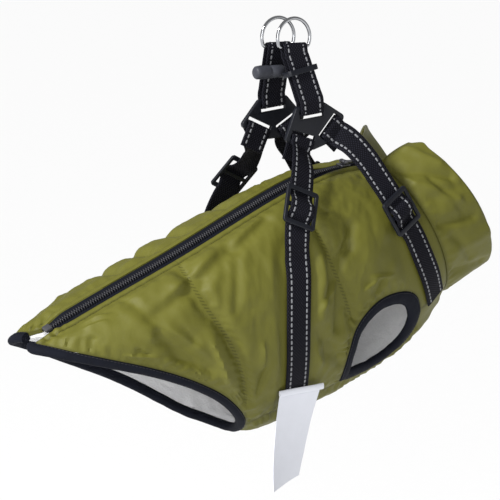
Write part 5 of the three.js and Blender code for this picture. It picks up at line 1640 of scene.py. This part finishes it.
class DogCoatStageSettings(bpy.types.PropertyGroup):
    """Camera, floor and light."""

    azimuth: bpy.props.FloatProperty(name="Azimuth", description="Turn of the camera round the coat, in degrees",
                                     default=-33.0)
    elevation: bpy.props.FloatProperty(name="Elevation", description="Rise of the camera, in degrees", default=12.0)
    distance: bpy.props.FloatProperty(name="Distance", description="Camera distance", default=1.5,
                                      unit="LENGTH", subtype="DISTANCE")
    pixels_per_mm: bpy.props.FloatProperty(name="Scale", description="Pixels for each millimetre at the origin",
                                           default=1.13)
    origin_pixel: bpy.props.FloatVectorProperty(name="Origin in view", description="Where the origin shows",
                                                default=(285.0, 16.0), size=2)
    floor_height: bpy.props.FloatProperty(name="Floor", description="Height of the floor", default=-0.8,
                                          unit="LENGTH", subtype="DISTANCE")
    surround: bpy.props.FloatProperty(name="Surround", description="Strength of the white surroundings", default=0.30)
    key_strength: bpy.props.FloatProperty(name="Key", description="Strength of the sun-like key light",
                                          default=4.0)
    fill_power: bpy.props.FloatProperty(name="Fill", description="Power of the fill light", default=5.0,
                                        unit="POWER")
    paper_colour: colour_property("Paper", "Colour of the floor", (0.93, 0.93, 0.93))


class DOGCOAT_OT_shell(bpy.types.Operator):
    """Make the padded shell, its quilting and the topstitching beside the zip"""

    bl_idname = "dogcoat.shell"
    bl_label = "Padded shell"

    def execute(self, context):
        settings = context.scene.dog_coat
        finish = shell_finish(settings)
        reliefs = {name: shell_panel(name, settings, finish) for name in (*SIDES, "belly")}
        thread = thread_finish("olive_thread", shaded(tuple(settings.shell_colour), 0.7), "shell_nylon")
        zip_topstitch(reliefs, thread)
        collar(settings, finish)
        return {"FINISHED"}


class DOGCOAT_OT_zip(bpy.types.Operator):
    """Make the zip: tapes, teeth, slider, pull tab and bottom box"""

    bl_idname = "dogcoat.zip"
    bl_label = "Zip"

    def execute(self, context):
        settings = context.scene.dog_coat
        tape = tape_finish("zip_tape_weave", tuple(settings.binding_colour), 0.7)
        for side in SIDES:
            zip_tape(side, tape)
        zip_teeth(plastic_finish("coil_nylon", (0.018, 0.018, 0.022), "coil_plastic", 0.3))
        metal = metal_finish("zip_metal", tuple(settings.metal_colour), "zip_metal", 0.32)
        softened("zip_slider", "zip_slider_body", metal, 0.5)
        softened("zip_pull_seat", "zip_slider_ears", metal, 0.25)
        softened("zip_pull", "zip_pull_tab", metal, 0.25, "pull_tab")
        softened("zip_end_box", "zip_bottom_box", plastic_finish(
            "zip_box_plastic", (0.05, 0.05, 0.055), "zip_metal", 0.4), 0.3)
        return {"FINISHED"}


class DOGCOAT_OT_lining(bpy.types.Operator):
    """Make the bound edges and the fleece lining"""

    bl_idname = "dogcoat.lining"
    bl_label = "Bindings and fleece"

    def execute(self, context):
        settings = context.scene.dog_coat
        tape = tape_finish("binding_weave", tuple(settings.binding_colour))
        thread = thread_finish("black_thread", (0.02, 0.02, 0.026), "binding_tape")
        pieces = {"belly": binding_piece("hem_tape", CUTS.hem_inside, CUTS.hem_edge, False, tape, thread)}
        for side in SIDES:
            cut, edge = armhole_loop(side)
            pieces[side] = binding_piece(f"armhole_tape_{side}", cut, edge, True, tape, thread)
            pieces[side].append(bpy.data.objects[f"zip_tape_woven_{side}"])
        fleece = fleece_finish(settings)
        for name, with_pieces in pieces.items():
            lining_panel(name, fleece, with_pieces)
        return {"FINISHED"}


class DOGCOAT_OT_straps(bpy.types.Operator):
    """Make the webbing straps and their reflective dashes"""

    bl_idname = "dogcoat.straps"
    bl_label = "Harness webbing"

    def execute(self, context):
        settings = context.scene.dog_coat
        finish = webbing_finish(settings)
        thread = thread_finish("reflective_thread", tuple(settings.dash_colour), "webbing", 0.35)
        for side in SIDES:
            lead_strap(side, finish, thread)
            for name in ("girth", "chest"):
                body_strap(side, name, finish, thread)
        return {"FINISHED"}


class DOGCOAT_OT_hardware(bpy.types.Operator):
    """Make the D-rings, plates, adjusters, keepers and the clasp"""

    bl_idname = "dogcoat.hardware"
    bl_label = "Rings and buckles"

    def execute(self, context):
        settings = context.scene.dog_coat
        black = plastic_finish("black_plastic", tuple(settings.plastic_colour), "black_plastic")
        grey = plastic_finish("clasp_plastic", tuple(settings.clasp_colour), "grey_plastic", 0.42)
        chrome = metal_finish("chrome", tuple(settings.chrome_colour), "chrome_wire", 0.08)
        for side in SIDES:
            d_ring(side, chrome)
            softened(f"plate_{side}", f"three_slot_plate_{side}", black, 1.1)
            softened(f"keeper_{side}", f"strap_keeper_{side}", black, 0.6)
            for name in ("girth", "chest"):
                softened(f"adjuster_{name}_{side}", f"{name}_slide_{side}", black, 0.7)
        softened("clasp_barrel", "round_clasp", grey, 0.4, angle=50)
        return {"FINISHED"}


class DOGCOAT_OT_label(bpy.types.Operator):
    """Make the bare satin care label"""

    bl_idname = "dogcoat.label"
    bl_label = "Care label"

    def execute(self, context):
        care_label(label_finish(context.scene.dog_coat))
        return {"FINISHED"}


class DOGCOAT_OT_stage(bpy.types.Operator):
    """Set the floor, light and camera"""

    bl_idname = "dogcoat.stage"
    bl_label = "Stage"

    def execute(self, context):
        settings = context.scene.dog_coat_stage
        camera(settings)
        backdrop(settings)
        studio_light(settings)
        return {"FINISHED"}


class DOGCOAT_PT_sidebar(bpy.types.Panel):
    """Lists the coat's pieces and the stage"""

    bl_idname = "DOGCOAT_PT_sidebar"
    bl_label = "Dog coat"
    bl_space_type = "VIEW_3D"
    bl_region_type = "UI"
    bl_category = "Dog coat"

    def draw(self, context):
        layout = self.layout
        for name in DogCoatSettings.__annotations__:
            layout.prop(context.scene.dog_coat, name)
        for name in DogCoatStageSettings.__annotations__:
            layout.prop(context.scene.dog_coat_stage, name)
        for operator in OPERATORS:
            layout.operator(operator.bl_idname)


OPERATORS = (DOGCOAT_OT_shell, DOGCOAT_OT_zip, DOGCOAT_OT_lining, DOGCOAT_OT_straps, DOGCOAT_OT_hardware,
             DOGCOAT_OT_label, DOGCOAT_OT_stage)
CLASSES = (DogCoatSettings, DogCoatStageSettings, *OPERATORS, DOGCOAT_PT_sidebar)


def register():
    """Adds the classes and the scene's settings."""
    for item in CLASSES:
        bpy.utils.register_class(item)
    bpy.types.Scene.dog_coat = bpy.props.PointerProperty(type=DogCoatSettings)
    bpy.types.Scene.dog_coat_stage = bpy.props.PointerProperty(type=DogCoatStageSettings)


def unregister():
    """Takes them away again."""
    del bpy.types.Scene.dog_coat
    del bpy.types.Scene.dog_coat_stage
    for item in reversed(CLASSES):
        bpy.utils.unregister_class(item)


def main():
    """Builds the coat and its stage."""
    register()
    bpy.ops.dogcoat.shell()
    bpy.ops.dogcoat.zip()
    bpy.ops.dogcoat.lining()
    bpy.ops.dogcoat.straps()
    bpy.ops.dogcoat.hardware()
    bpy.ops.dogcoat.label()
    bpy.ops.dogcoat.stage()
    bpy.context.view_layer.update()


if __name__ == "__main__":
    main()
